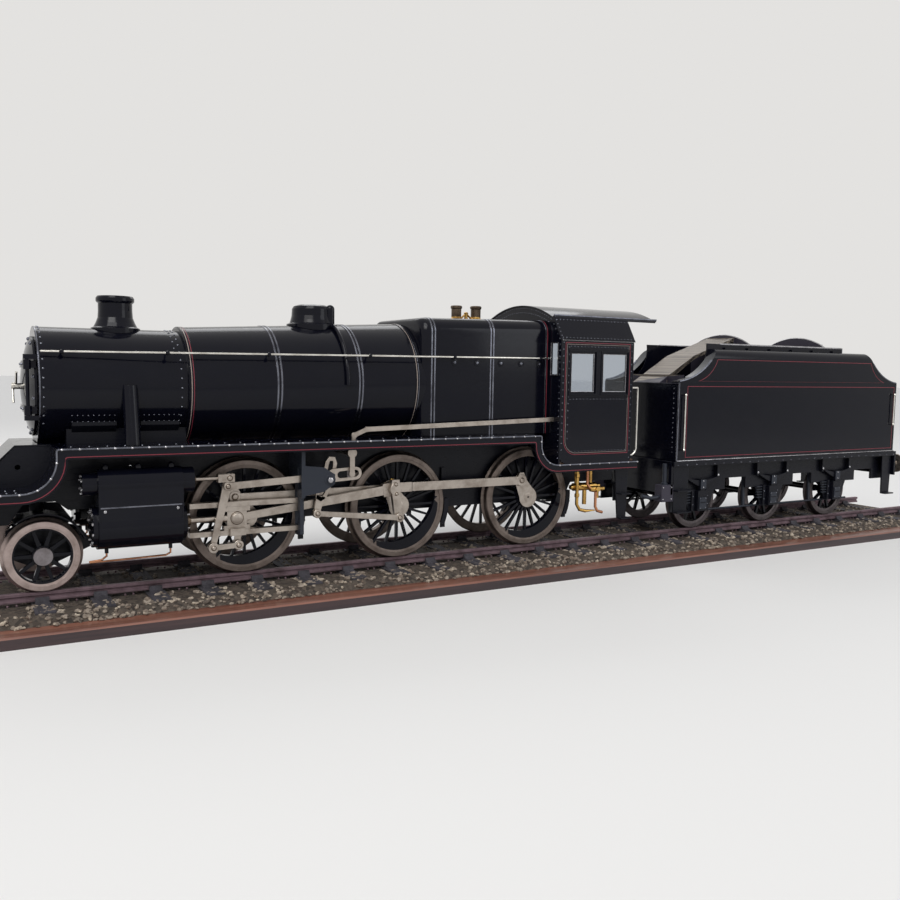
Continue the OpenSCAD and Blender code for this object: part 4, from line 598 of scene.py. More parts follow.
class Piece:
    """A mesh under construction in the engine's millimetres."""

    def __init__(self, name: str, body: str = ROOT, slot: str = "black_enamel") -> None:
        """Start an empty piece.

        Args:
            name: Name of the piece.
            body: The body that it moves with.
            slot: Name of a material slot; stored, but not used.
        """
        self.name = name
        self.body = body
        self.slot = slot
        self.points: list[Vector] = []
        self.faces: list[tuple[int, ...]] = []
        self.marks: list[int] = []
        self.finishes: list[Finish] = []

    def add(self, points: Iterable[Sequence[float]], faces: Iterable[Sequence[int]], finish: Finish) -> None:
        """Add points and the faces between them.

        Args:
            points: Places in the engine's millimetres.
            faces: Numbers of the points round each face.
            finish: The finish of these faces.
        """
        if finish not in self.finishes:
            self.finishes.append(finish)
        mark = self.finishes.index(finish)
        base = len(self.points)
        self.points.extend(Vector(p) for p in points)
        for face in faces:
            self.faces.append(tuple(base + k for k in face))
            self.marks.append(mark)

    def loft(self, rings: Sequence[Sequence[Sequence[float]]], finish: Finish, caps: bool = True,
             closed: bool = True) -> None:
        """Skin a row of outlines that have the same number of points.

        Args:
            rings: The outlines, in order.
            finish: The finish of the skin.
            caps: Whether the two ends are filled.
            closed: Whether each outline joins up with itself.
        """
        n = len(rings[0])
        last = n if closed else n - 1
        faces = []
        for k in range(len(rings) - 1):
            for j in range(last):
                a, b = k * n + j, k * n + (j + 1) % n
                faces.append((a, b, b + n, a + n))
        if caps:
            faces.append(tuple(reversed(range(n))))
            faces.append(tuple(range((len(rings) - 1) * n, len(rings) * n)))
        self.add([p for ring in rings for p in ring], faces, finish)

    def box(self, x: Pair, y: Pair, z: Pair, finish: Finish) -> None:
        """Add a square-edged bar between two places along each axis."""
        self.loft([[(*corner, height) for corner in rectangle(x, y)] for height in z], finish)

    def plate(self, outline: Sequence[Sequence[float]], y: Pair, finish: Finish) -> None:
        """Add a flat plate from its outline in X and Z and its two faces across the track."""
        self.loft([[(p[0], side, p[1]) for p in outline] for side in y], finish)

    def frame_plate(self, outer: Sequence[Sequence[float]], inner: Sequence[Sequence[float]],
                    y: Pair, finish: Finish) -> None:
        """Add a flat ring between two outlines in X and Z with as many points each."""
        order = ((outer, y[0]), (outer, y[1]), (inner, y[1]), (inner, y[0]), (outer, y[0]))
        self.loft([[(p[0], side, p[1]) for p in ring] for ring, side in order], finish, caps=False)

    def tube(self, path: Sequence[Sequence[float]], radius: float, finish: Finish, sides: int = 12) -> None:
        """Add a round bar or pipe along a path.

        Args:
            path: Its middle line.
            radius: Its radius.
            finish: Its finish.
            sides: Number of sides.
        """
        line = [Vector(p) for p in path]
        rings = []
        up = Vector((0.0, 0.0, 1.0))
        for k, place in enumerate(line):
            run = (line[min(k + 1, len(line) - 1)] - line[max(k - 1, 0)]).normalized()
            if abs(run.dot(up)) > 0.95:
                up = Vector((1.0, 0.0, 0.0))
            side = run.cross(up).normalized()
            rise = side.cross(run)
            spin = [math.cos(t) * side + math.sin(t) * rise for t in even_turns(sides)]
            rings.append([place + radius * s for s in spin])
        self.loft(rings, finish)

    def lathe(self, foot: Sequence[float], axis: Sequence[float], profile: Sequence[Pair],
              finish: Finish, sides: int = 24) -> None:
        """Turn a profile about an axis.

        Args:
            foot: Where the axis starts.
            axis: Its direction.
            profile: Distances along the axis and radii, in order.
            finish: The finish of the turned form.
            sides: Number of sides.
        """
        run = Vector(axis).normalized()
        side = run.orthogonal().normalized()
        rise = run.cross(side)
        spin = [math.cos(t) * side + math.sin(t) * rise for t in even_turns(sides)]
        self.loft([[Vector(foot) + h * run + r * s for s in spin] for h, r in profile], finish)

    def dome(self, foot: Sequence[float], axis: Sequence[float], radius: float, finish: Finish) -> None:
        """Add one round rivet head that stands on a surface."""
        self.lathe(foot, axis, [(radius * h, radius * r) for h, r in RIVET_HEAD], finish, 8)

    # Rivet heads default to the pale steel that is a painted highlight on black enamel.
    def rivets(self, path: Sequence[Sequence[float]], axis: Sequence[float], pitch: float, radius: float,
               finish: Finish = RIVET_HIGHLIGHT) -> None:
        """Add a row of rivets along a path, with their heads along an axis."""
        for place in spaced([Vector(p) for p in path], pitch):
            self.dome(place, axis, radius, finish)

    def line(self, path: Sequence[Sequence[float]], out: Sequence[float], width: float, finish: Finish,
             closed: bool = False, lift: float = 0.12) -> None:
        """Lay a thin painted or beaded line on a flat surface.

        Args:
            path: The middle of the line.
            out: The way that the surface faces.
            width: Width of the line.
            finish: Its finish.
            closed: Whether the line ends where it starts.
            lift: How far the line stands out.
        """
        points = [Vector(p) for p in path]
        facing = Vector(out).normalized()
        count = len(points)
        rings = []
        for k, place in enumerate(points):
            before = points[(k - 1) % count] if closed or k > 0 else place
            after = points[(k + 1) % count] if closed or k < count - 1 else place
            first = (place - before).normalized()
            second = (after - place).normalized()
            run = (first + second).normalized()
            at_end = not closed and k in (0, count - 1)
            narrowing = 1.0 if at_end else math.sqrt(max(0.0, (1.0 + first.dot(second)) / 2.0))
            side = 0.5 * width / max(0.5, narrowing) * run.cross(facing)
            rings.append([place - side - 0.1 * facing, place - side + lift * facing,
                          place + side + lift * facing, place + side - 0.1 * facing])
        if closed:
            rings.append(rings[0])
        self.loft(rings, finish, caps=not closed)

    def hoop(self, x: Pair, centre: float, radius: Pair, finish: Finish, thick: float = 0.5) -> None:
        """Wrap a band round the boiler.

        Args:
            x: Where the band starts and ends.
            centre: Height of the boiler's middle.
            radius: The surface's radius at the start and at the end.
            finish: Finish of the band.
            thick: How far the band stands out.
        """
        sunk = 0.2
        section = ((x[0], radius[0] - sunk), (x[0], radius[0] + thick),
                   (x[1], radius[1] + thick), (x[1], radius[1] - sunk))
        turns = even_turns(96)
        rings = [[(place, r * math.cos(t), centre + r * math.sin(t)) for place, r in section] for t in turns]
        self.loft(rings + rings[:1], finish, caps=False)

    def build(self, smooth: float = 35.0) -> bpy.types.Object:
        """Turn the points into an object that rides on its body.

        Args:
            smooth: Largest angle between faces that is shaded as one surface, in degrees.

        Returns:
            The object.
        """
        mesh = bpy.data.meshes.new(self.name)
        mesh.from_pydata([at(*p) for p in self.points], [], self.faces)
        for finish in self.finishes:
            mesh.materials.append(LIBRARY.get(finish))
        mesh.polygons.foreach_set("material_index", self.marks)
        tidy = bmesh.new()
        tidy.from_mesh(mesh)
        bmesh.ops.recalc_face_normals(tidy, faces=tidy.faces)
        tidy.to_mesh(mesh)
        tidy.free()
        mesh.shade_smooth()
        mesh.set_sharp_from_angle(angle=math.radians(smooth))
        piece = bpy.data.objects.new(self.name, mesh)
        bpy.context.scene.collection.objects.link(piece)
        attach(piece, self.body)
        LOG.info("built %s with %d faces", self.name, len(mesh.polygons))
        return piece


GOLDEN = 1.618


def chip_corners() -> list[Vector]:
    """List the twelve corners of a regular twenty-sided stone before it is knocked about."""
    flat = [(s, t * GOLDEN) for s in NEAR_AND_FAR for t in NEAR_AND_FAR]
    level = [Vector((a, b, 0.0)) for a, b in flat]
    return level + [Vector((0.0, a, b)) for a, b in flat] + [Vector((b, 0.0, a)) for a, b in flat]


def chip_faces(corners: Sequence[Vector]) -> list[tuple[int, ...]]:
    """List the triangles between corners that stand next to each other.

    Args:
        corners: The corners.

    Returns:
        Three corner numbers for each triangle.
    """
    edge = 2.1
    trios = itertools.combinations(range(len(corners)), 3)
    return [
        trio for trio in trios
        if all((corners[a] - corners[b]).length < edge for a, b in itertools.combinations(trio, 2))
    ]


CHIP_CORNERS = chip_corners()
CHIP_FACES = chip_faces(CHIP_CORNERS)


@dataclass
class Track:
    """Ballast stones round the sleepers, chair bolts, and the finish of the bed and the board."""

    half_bed: float = 84.0
    slope: float = 8.0
    bed_z: float = -11.5
    board_z: float = -18.0
    length: float = 1296.0
    stones: int = 6200
    stone_r: Point = (1.5, 3.6, 2.0)
    sleeper_pitch: float = 46.0
    sleeper_w: float = 16.0
    sleeper_l: float = 160.0
    rail_y: float = 46.75
    chair_z: float = -8.9
    moulding: float = 1.6

    def clear(self, x: float, y: float, reach: float) -> bool:
        """Say whether a stone misses the sleepers and rails.

        Args:
            x: Place along the track, from the board's middle.
            y: Place across the track.
            reach: Radius of the stone.

        Returns:
            True where nothing is in its way.
        """
        half_pitch = self.sleeper_pitch / 2.0
        off = abs((x + half_pitch) % self.sleeper_pitch - half_pitch)
        room = 0.45 * reach
        on_sleeper = off < self.sleeper_w / 2.0 + room and abs(y) < self.sleeper_l / 2.0 + room
        on_rail = abs(abs(y) - self.rail_y) < 3.4 + reach
        return not on_sleeper and not on_rail

    def stone(self, piece: Piece, place: Vector, reach: float, dice: random.Random) -> None:
        """Add one chip of stone: a squashed and knocked-about form of twenty triangles.

        Args:
            piece: The piece that it joins.
            place: Its middle.
            reach: Its rough radius.
            dice: Source of its irregular shape.
        """
        full_turn, corner_r = 6.28, 1.9
        about_z = Matrix.Rotation(dice.uniform(0.0, full_turn), 3, "Z")
        turn = about_z @ Matrix.Rotation(dice.uniform(0.0, full_turn), 3, "X")
        squash = Vector((dice.uniform(0.7, 1.25), dice.uniform(0.7, 1.1), dice.uniform(0.5, 0.85)))
        shaped = []
        for corner in CHIP_CORNERS:
            knock = dice.uniform(0.75, 1.15) * reach / corner_r
            shaped.append(place + Vector(a * b * knock for a, b in zip(turn @ corner, squash)))
        piece.add(shaped, CHIP_FACES, BALLAST)

    def ballast(self) -> None:
        """Scatter the stones."""
        dice = random.Random(11)
        stones = Piece("ballast_stones", slot="ballast")
        half = self.half_bed + self.slope + 3.0
        wanted = self.stones
        laid = 0
        while laid < wanted:
            x = dice.uniform(-self.length / 2.0, self.length / 2.0)
            y = dice.uniform(-half, half)
            reach = dice.triangular(*self.stone_r)
            if not self.clear(x, y, reach):
                continue
            fall = max(0.0, abs(y) - self.half_bed) / self.slope
            z = max(self.board_z, self.bed_z + (self.board_z - self.bed_z) * fall)
            rise = 0.45 * reach if z <= self.board_z else dice.uniform(-0.1, 0.4) * reach
            self.stone(stones, Vector((x + LAYOUT_MID, y, z + rise)), reach, dice)
            laid += 1
        stones.build(10.0)

    def chair_bolts(self) -> None:
        """Fit four bolts to each rail chair."""
        bolts = Piece("chair_bolts", slot="rail_steel")
        bolt = ((-0.6, 1.0), (0.7, 1.0), (1.1, 0.5))
        count = int((self.length - 60.0) / self.sleeper_pitch) + 1
        for k in range(count):
            x = LAYOUT_MID + (k - (count - 1) / 2.0) * self.sleeper_pitch
            for side in NEAR_AND_FAR:
                for step in (-7.2, 7.2):
                    for along in (-3.4, 3.4):
                        foot = (x + along, side * (self.rail_y + step), self.chair_z)
                        bolts.lathe(foot, (0, 0, 1), bolt, RAIL, 6)
        bolts.build()

    def build(self) -> None:
        """Build the stones and bolts, and finish the bed and the board."""
        self.ballast()
        # The bed is darkened as painted shade under the stones as well as for dust.
        LIBRARY.dress("ballast_bed", lambda place: BED)
        edge = self.board_z - self.moulding
        LIBRARY.dress("display_board", lambda place: MAHOGANY if place.z > edge else BOARD_SIDE)
        self.chair_bolts()


@dataclass
class Wheels:
    """Finishes of the wheels, with caps and centre marks on the driving axles."""

    face_y: float = 51.15
    rim_r: float = 44.2
    pin_boss_r: float = 8.6
    pony: Pair = (-171.5, 30.0)
    pony_rim_r: float = 23.2
    pony_cap_r: float = 9.0
    tender_z: float = 35.2
    tender_rim_r: float = 27.0
    cap: Profile = ((-0.5, 5.0), (0.25, 5.0), (0.4, 4.6))
    centre_mark: Profile = ((0.2, 1.2), (0.5, 1.2), (0.5, 0.4))

    def driver(self, place: Vector) -> Finish:
        """Choose the finish of a driving wheel at a place.

        Args:
            place: The place in the engine's millimetres.

        Returns:
            The tyre's steel, the bright boss or the painted spokes.
        """
        x = min(AXLES, key=lambda axle: abs(place.x - axle))
        off = math.hypot(place.x - x, place.z - AXLE_Z)
        turn = math.radians(NEAR_CRANK if place.y < 0 else FAR_CRANK)
        pin = (x + THROW * math.cos(turn), AXLE_Z + THROW * math.sin(turn))
        by_pin = math.hypot(place.x - pin[0], place.z - pin[1]) < self.pin_boss_r
        if off > self.rim_r:
            return TYRE
        proud = abs(place.y) > self.face_y + 0.4
        return BRIGHT if proud and (by_pin or off < THROW) else BLACK

    def pony_wheel(self, place: Vector) -> Finish:
        """Choose the finish of a pony wheel at a place.

        Args:
            place: The place in the engine's millimetres.

        Returns:
            The tyre's steel, the grey cap or the painted spokes.
        """
        off = math.hypot(place.x - self.pony[0], place.z - self.pony[1])
        if off > self.pony_rim_r:
            return PALE_TYRE
        return HUB if off < self.pony_cap_r and abs(place.y) > self.face_y - 0.5 else BLACK

    def tender_wheel(self, axle: float, place: Vector) -> Finish:
        """Choose the finish of a tender wheel at a place."""
        off = math.hypot(place.x - axle, place.z - self.tender_z)
        return DARK_TYRE if off > self.tender_rim_r else BLACK

    def build(self) -> None:
        """Finish the wheels and cap the driving axles."""
        LIBRARY.dress("driving_wheels", self.driver)
        LIBRARY.dress("pony_wheels", self.pony_wheel)
        for name in ("tender_wheels_front", "tender_wheels_middle", "tender_wheels_rear"):
            low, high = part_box(name)
            middle = (low[0] + high[0]) / 2.0 / MM + LAYOUT_MID
            LIBRARY.dress(name, lambda place, axle=middle: self.tender_wheel(axle, place))
        ends = Piece("axle_ends")
        for x in AXLES:
            for side in NEAR_AND_FAR:
                foot = (x, side * (self.face_y + 0.9), AXLE_Z)
                ends.lathe(foot, (0, side, 0), self.cap, BRIGHT)
                ends.lathe(foot, (0, side, 0), self.centre_mark, IRON, 12)
        ends.build()


@dataclass
class Boiler:
    """Smokebox, cladding, firebox and everything fastened on them."""

    centre: float = 170.5
    smoke_r: float = 51.5
    flange_r: float = 53.4
    front: float = -171.5
    joint: float = -50.5
    throat: float = 177.0
    fire_x: float = 196.0
    cab: float = 333.0
    level_x: float = -39.5
    front_r: float = 55.2
    grow: float = 6.0 / 235.5
    fire_width: Pair = (123.0, 117.0)
    fire_low: float = 122.7
    fire_top: float = 245.0
    fire_fall: float = 3.0
    shoulder_r: float = 15.0
    bands: tuple[float, ...] = (29.0, 32.6, 109.6, 113.0)
    band_w: float = 1.5
    fire_bands: tuple[float, ...] = (186.6, 190.2, 257.0, 260.4, 328.4)
    red_band: float = 330.2
    plugs: tuple[float, ...] = (213.9, 240.9, 270.4, 296.2, 320.6)
    plug_z: float = 197.6
    valves: Pair = (250.0, 274.6)
    pillars: tuple[float, ...] = (-153.5, -68.5, 21.0, 120.0, 212.5, 319.0)
    door_face: float = -173.8

    def radius(self, x: float) -> float:
        """Radius of the cladding at a place along the boiler."""
        return self.front_r + self.grow * (x - self.joint)

    def middle(self, x: float) -> float:
        """Height of the cladding's middle at a place along the boiler."""
        return self.centre + self.grow * (x - self.level_x)

    def fire_half(self, x: float) -> float:
        """Half the firebox's width at a place along the boiler."""
        share = (x - self.fire_x) / (self.cab - self.fire_x)
        return (self.fire_width[0] + share * (self.fire_width[1] - self.fire_width[0])) / 2.0

    def fire_crest(self, x: float) -> float:
        """Height of the firebox's top at a place along the boiler."""
        return self.fire_top - self.fire_fall * (self.cab - x) / (self.cab - self.throat)

    def fire_outline(self, x: float, shrink: float = 0.0) -> list[Point]:
        """Give the firebox's cross outline: straight sides and a flat top with round shoulders.

        Args:
            x: Place along the boiler.
            shrink: How far the outline stands inside the full size.

        Returns:
            The outline's points.
        """
        half = self.fire_half(x) - shrink
        corner = (half - self.shoulder_r, self.fire_crest(x) - 0.5 * shrink - self.shoulder_r)
        right = [(half, self.fire_low)] + arc(corner, self.shoulder_r, 0.0, 90.0, 12)
        left = [(-y, z) for y, z in reversed(right)]
        return [(x, y, z) for y, z in right + left]

    def hoop(self, piece: Piece, start: float, width: float, finish: Finish, thick: float = 0.5) -> None:
        """Wrap a band of the cladding's own radius round the barrel."""
        end = start + width
        piece.hoop((start, end), self.middle(start), (self.radius(start), self.radius(end)), finish, thick)

    def barrel_cladding(self) -> None:
        """Build the barrel's cladding with its bands and the lined bands at its ends."""
        barrel = Piece("barrel_cladding")
        turns = even_turns(128)
        rings = []
        lip = 0.9
        for x, fall in ((self.joint, lip), (self.joint + lip, 0.0), (60.0, 0.0), (self.throat + 5.0, 0.0)):
            r = self.radius(x) - fall
            rings.append([(x, r * math.cos(t), self.middle(x) + r * math.sin(t)) for t in turns])
        barrel.loft(rings, BLACK)
        for x in self.bands:
            self.hoop(barrel, x, self.band_w, RIVET_HIGHLIGHT)
        for x, edge in ((self.joint + 0.8, RED), (self.throat - 6.5, RIVET_HIGHLIGHT)):
            self.hoop(barrel, x, 4.2, BLACK, 0.6)
            for step, finish in ((0.9, CREAM), (2.9, edge)):
                level = (self.radius(x), self.radius(x))
                barrel.hoop((x + step, x + step + 0.6), self.middle(x), level, finish, 0.7)
        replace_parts(barrel.build(), "boiler_barrel", "boiler_bands")

    def firebox_cladding(self) -> None:
        """Build the firebox's cladding with its curved front and its bands."""
        firebox = Piece("firebox_cladding")
        curve = ((0.0, 7.0), (1.0, 3.8), (3.0, 1.6), (6.0, 0.3), (9.0, 0.0))
        rings = [self.fire_outline(self.throat + step, shrink) for step, shrink in curve]
        firebox.loft(rings + [self.fire_outline(self.cab - 0.1)], BLACK)
        wide = [(x, self.band_w, RIVET_HIGHLIGHT) for x in self.fire_bands]
        for x, width, finish in wide + [(self.red_band, 0.7, RED)]:
            edges = ((x, 0.2), (x, -0.5), (x + width, -0.5), (x + width, 0.2))
            firebox.loft([self.fire_outline(place, shrink) for place, shrink in edges], finish, caps=False)
        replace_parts(firebox.build(), "firebox")

    def washout_plugs(self) -> None:
        """Build the plugs along both sides of the firebox."""
        plugs = Piece("washout_plugs")
        ring = ((-0.5, 3.6), (0.4, 3.6), (0.6, 3.1), (0.6, 2.5))
        square = ((0.2, 1.7), (1.3, 1.5), (1.4, 1.0))
        for x in self.plugs:
            for side in NEAR_AND_FAR:
                foot = (x, side * self.fire_half(x), self.plug_z)
                plugs.lathe(foot, (0, side, 0), ring, BLACK)
                plugs.lathe(foot, (0, side, 0), square, RIVET_HIGHLIGHT, 6)
        plugs.build()

    def safety_valves(self) -> None:
        """Build the two safety valves with the lever between them."""
        valves = Piece("safety_valves_turned", slot="brass")
        base = ((-0.4, 7.4), (1.6, 7.4), (2.4, 6.2), (3.4, 5.4), (4.2, 5.4))
        barrel = ((4.0, 5.1), (12.6, 5.1), (13.2, 6.2), (15.2, 6.4), (16.2, 5.6), (16.4, 3.4), (15.4, 3.0))
        post = ((0.0, 2.4), (6.6, 1.9), (9.6, 2.5), (10.4, 1.6))
        rib_r, rib_low, rib_high = 5.1, 4.2, 12.6
        for x in self.valves:
            z = self.fire_crest(x)
            valves.lathe((x, 0, z), (0, 0, 1), base, BRASS, 36)
            valves.lathe((x, 0, z), (0, 0, 1), barrel, BRONZE, 36)
            for turn in even_turns(8):
                foot = (x + rib_r * math.cos(turn), rib_r * math.sin(turn))
                valves.tube([(*foot, z + rib_low), (*foot, z + rib_high)], 0.5, BRONZE, 6)
        middle = sum(self.valves) / 2.0
        z = self.fire_top - 1.8
        reach, dip, crest = 6.3, 3.0, 8.6
        lever = [(middle - reach, 0, z + dip), (middle, 0, z + crest), (middle + reach, 0, z + dip)]
        valves.tube(lever, 1.1, BRASS, 10)
        valves.lathe((middle, 0, z - 0.6), (0, 0, 1), post, BRASS, 16)
        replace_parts(valves.build(), "safety_valves")

    def handrails(self) -> None:
        """Build the handrail and its pillars on both sides."""
        rail = Piece("boiler_handrails", slot="bright_steel")
        ball = ((0.0, 1.2), (0.9, 1.7), (2.6, 2.1), (4.2, 1.6), (4.7, 0.6))
        ends = [Vector((self.front + 2.0, 47.0, 200.4)), Vector((self.throat - 2.0, 64.4, 202.8)),
                Vector((self.cab - 0.2, 62.6, 204.0))]
        for side in NEAR_AND_FAR:
            rail.tube([(p.x, side * p.y, p.z) for p in ends], 0.95, NICKEL)
            for x in self.pillars:
                first, last = ends[0:2] if x < ends[1].x else ends[1:3]
                foot = first.lerp(last, (x - first.x) / (last.x - first.x))
                inside = 34.0 if x < self.joint else 44.0
                rail.tube([(x, side * inside, foot.z), (x, side * foot.y, foot.z)], 0.75, BLACK, 8)
                rail.lathe((x, side * (foot.y - 2.6), foot.z), (0, side, 0), ball, BLACK, 14)
        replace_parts(rail.build(), "handrails")

    def smokebox(self) -> None:
        """Rivet the smokebox's ends and the flange of its saddle."""
        rivets = Piece("smokebox_rivets")
        staggered = self.joint - 9.5
        for x, count in ((self.front + 3.6, 40), (self.joint - 5.5, 38), (staggered, 38)):
            lowest = 0.55 if x == staggered else -0.62
            for turn in even_turns(count, 0.5 if x == staggered else 0.0):
                if math.sin(turn) >= lowest:
                    spin = Vector((0.0, math.cos(turn), math.sin(turn)))
                    rivets.dome(Vector((x, 0, self.centre)) + self.smoke_r * spin, spin, 1.05, RIVET_HIGHLIGHT)
        for side in NEAR_AND_FAR:
            for x0, x1 in ((-146.0, -112.0), (-88.0, -58.0)):
                for z, r in ((141.5, self.flange_r), (146.0, self.smoke_r)):
                    drop = self.centre - z
                    spin = Vector((0.0, side * math.sqrt(self.flange_r ** 2 - drop ** 2), -drop)).normalized()
                    foot = Vector((0, 0, self.centre)) + r * spin
                    rivets.rivets([(x0, foot.y, foot.z), (x1, foot.y, foot.z)], spin, 4.3, 0.7)
        rim = (self.front + 0.2, self.front + 1.3)
        rivets.hoop(rim, self.centre, (self.smoke_r, self.smoke_r), RIVET_HIGHLIGHT, 0.35)
        rivets.build()

    def door(self) -> None:
        """Fit the door's clamping bolts, hinge rivets and boss, which swing with it."""
        door = Piece("smokebox_door_trim", body="smokebox_door")
        bolt = ((-0.6, 1.7), (1.2, 1.7), (1.9, 1.2), (2.3, 0.5))
        for turn in even_turns(14, 0.5):
            spin = Vector((0.0, math.cos(turn), math.sin(turn)))
            door.lathe(Vector((self.door_face, 0, self.centre)) + 40.6 * spin, (-1, 0, 0), bolt, RIVET_HIGHLIGHT, 6)
        dish_r, dish_rise, strap = 43.0, 8.0, 19.0
        for z in (-strap, strap):
            for y in (-30.0, -20.0, -10.0, 0.0, 10.0, 20.0):
                rise = dish_rise * (1.0 - (y * y + z * z) / dish_r ** 2)
                door.dome((self.door_face - rise - 1.3, y, self.centre + z), (-1, 0, 0), 1.1, RIVET_HIGHLIGHT)
        boss = ((0.0, 3.4), (1.4, 3.4), (1.8, 2.6))
        door.lathe((self.front - 15.0, 0, self.centre), (-1, 0, 0), boss, NICKEL, 20)
        door.build()
        handle = self.front - 12.6
        LIBRARY.dress("smokebox_door", lambda place: NICKEL if place.x < handle else BLACK)

    def build(self) -> None:
        """Build the boiler's pieces."""
        self.barrel_cladding()
        self.firebox_cladding()
        self.washout_plugs()
        self.safety_valves()
        self.handrails()
        self.smokebox()
        self.door()


@dataclass
class Platework:
    """Edge screws, lining and beading of the running boards and buffer beam."""

    face_y: float = 81.0
    deck_z: float = 87.5
    board_z: float = 122.5
    cab_z: float = 90.5
    front_x: float = -163.0
    back_x: float = 311.0
    bend: float = 26.0
    cab_bend: float = 22.0
    corner: float = 2.0
    beam_x: float = -218.0
    end_x: float = 443.0

    def edge(self, drop: float) -> list[Pair]:
        """Follow the board's edge at a depth below its top.

        Args:
            drop: Distance below or outside the top surface.

        Returns:
            Points in X and Z from the beam to the cab's end.
        """
        inset = drop + self.corner
        high = self.board_z - inset
        first = arc((self.front_x - self.bend, self.deck_z + self.bend), self.bend + drop, 270.0, 360.0)
        rise = arc((self.front_x + inset, high), self.corner, 180.0, 90.0, 4)
        fall = arc((self.back_x - inset, high), self.corner, 90.0, 0.0, 4)
        middle = (self.back_x + self.cab_bend, self.cab_z + self.cab_bend)
        last = arc(middle, self.cab_bend + drop, 180.0, 270.0)
        start = [(self.beam_x + 1.0, self.deck_z - drop)]
        return start + first + rise + fall + last + [(self.end_x, self.cab_z - drop)]

    def trim(self) -> None:
        """Bead, screw and line the edge on both sides."""
        trim = Piece("running_board_trim")
        for side in NEAR_AND_FAR:
            out = (0, side, 0)
            y = side * self.face_y
            # Pale bead along the edge and pale screw heads: painted highlight on the black edge.
            trim.line(upright(self.edge(0.7), y), out, 1.3, RIVET_HIGHLIGHT, lift=0.9)
            heads = upright(self.edge(0.9), side * (self.face_y + 0.5))
            trim.rivets(heads, (0, side, 0.7), 13.6, 1.15, SCREW)
            trim.line(upright(self.edge(7.2), y), out, 0.75, RED)
            trim.line(upright(self.edge(8.4), y), out, 0.8, BLACK, lift=0.5)
        trim.build()

    def deck(self) -> None:
        """Rivet the decks and bolt the buffers to the beam."""
        deck = Piece("deck_rivets")
        bolt = ((-0.5, 1.6), (1.2, 1.6), (1.5, 1.0))
        for side in NEAR_AND_FAR:
            for y in (side * 60.0, side * 74.0):
                deck.rivets([(-212, y, self.deck_z), (-192, y, self.deck_z)], (0, 0, 1), 6.6, 0.9)
            deck.rivets([(self.beam_x, side * 8, 82.0), (self.beam_x, side * 74, 82.0)], (-1, 0, 0), 6.0, 0.9)
            for z in (58.0, 74.0):
                for y in (46.0, 62.8):
                    deck.lathe((self.beam_x, side * y, z), (-1, 0, 0), bolt, SCREW, 6)
            row = [(-150, side * 68, self.board_z), (300, side * 68, self.board_z)]
            deck.rivets(row, (0, 0, 1), 14.0, 0.8)
        deck.build()
        head, inside = self.beam_x - 22.5, 30.0
        LIBRARY.dress("buffer_beam", lambda p: BRIGHT if p.x < head and abs(p.y) > inside else BLACK)

    def build(self) -> None:
        """Build the platework's pieces."""
        self.trim()
        self.deck()


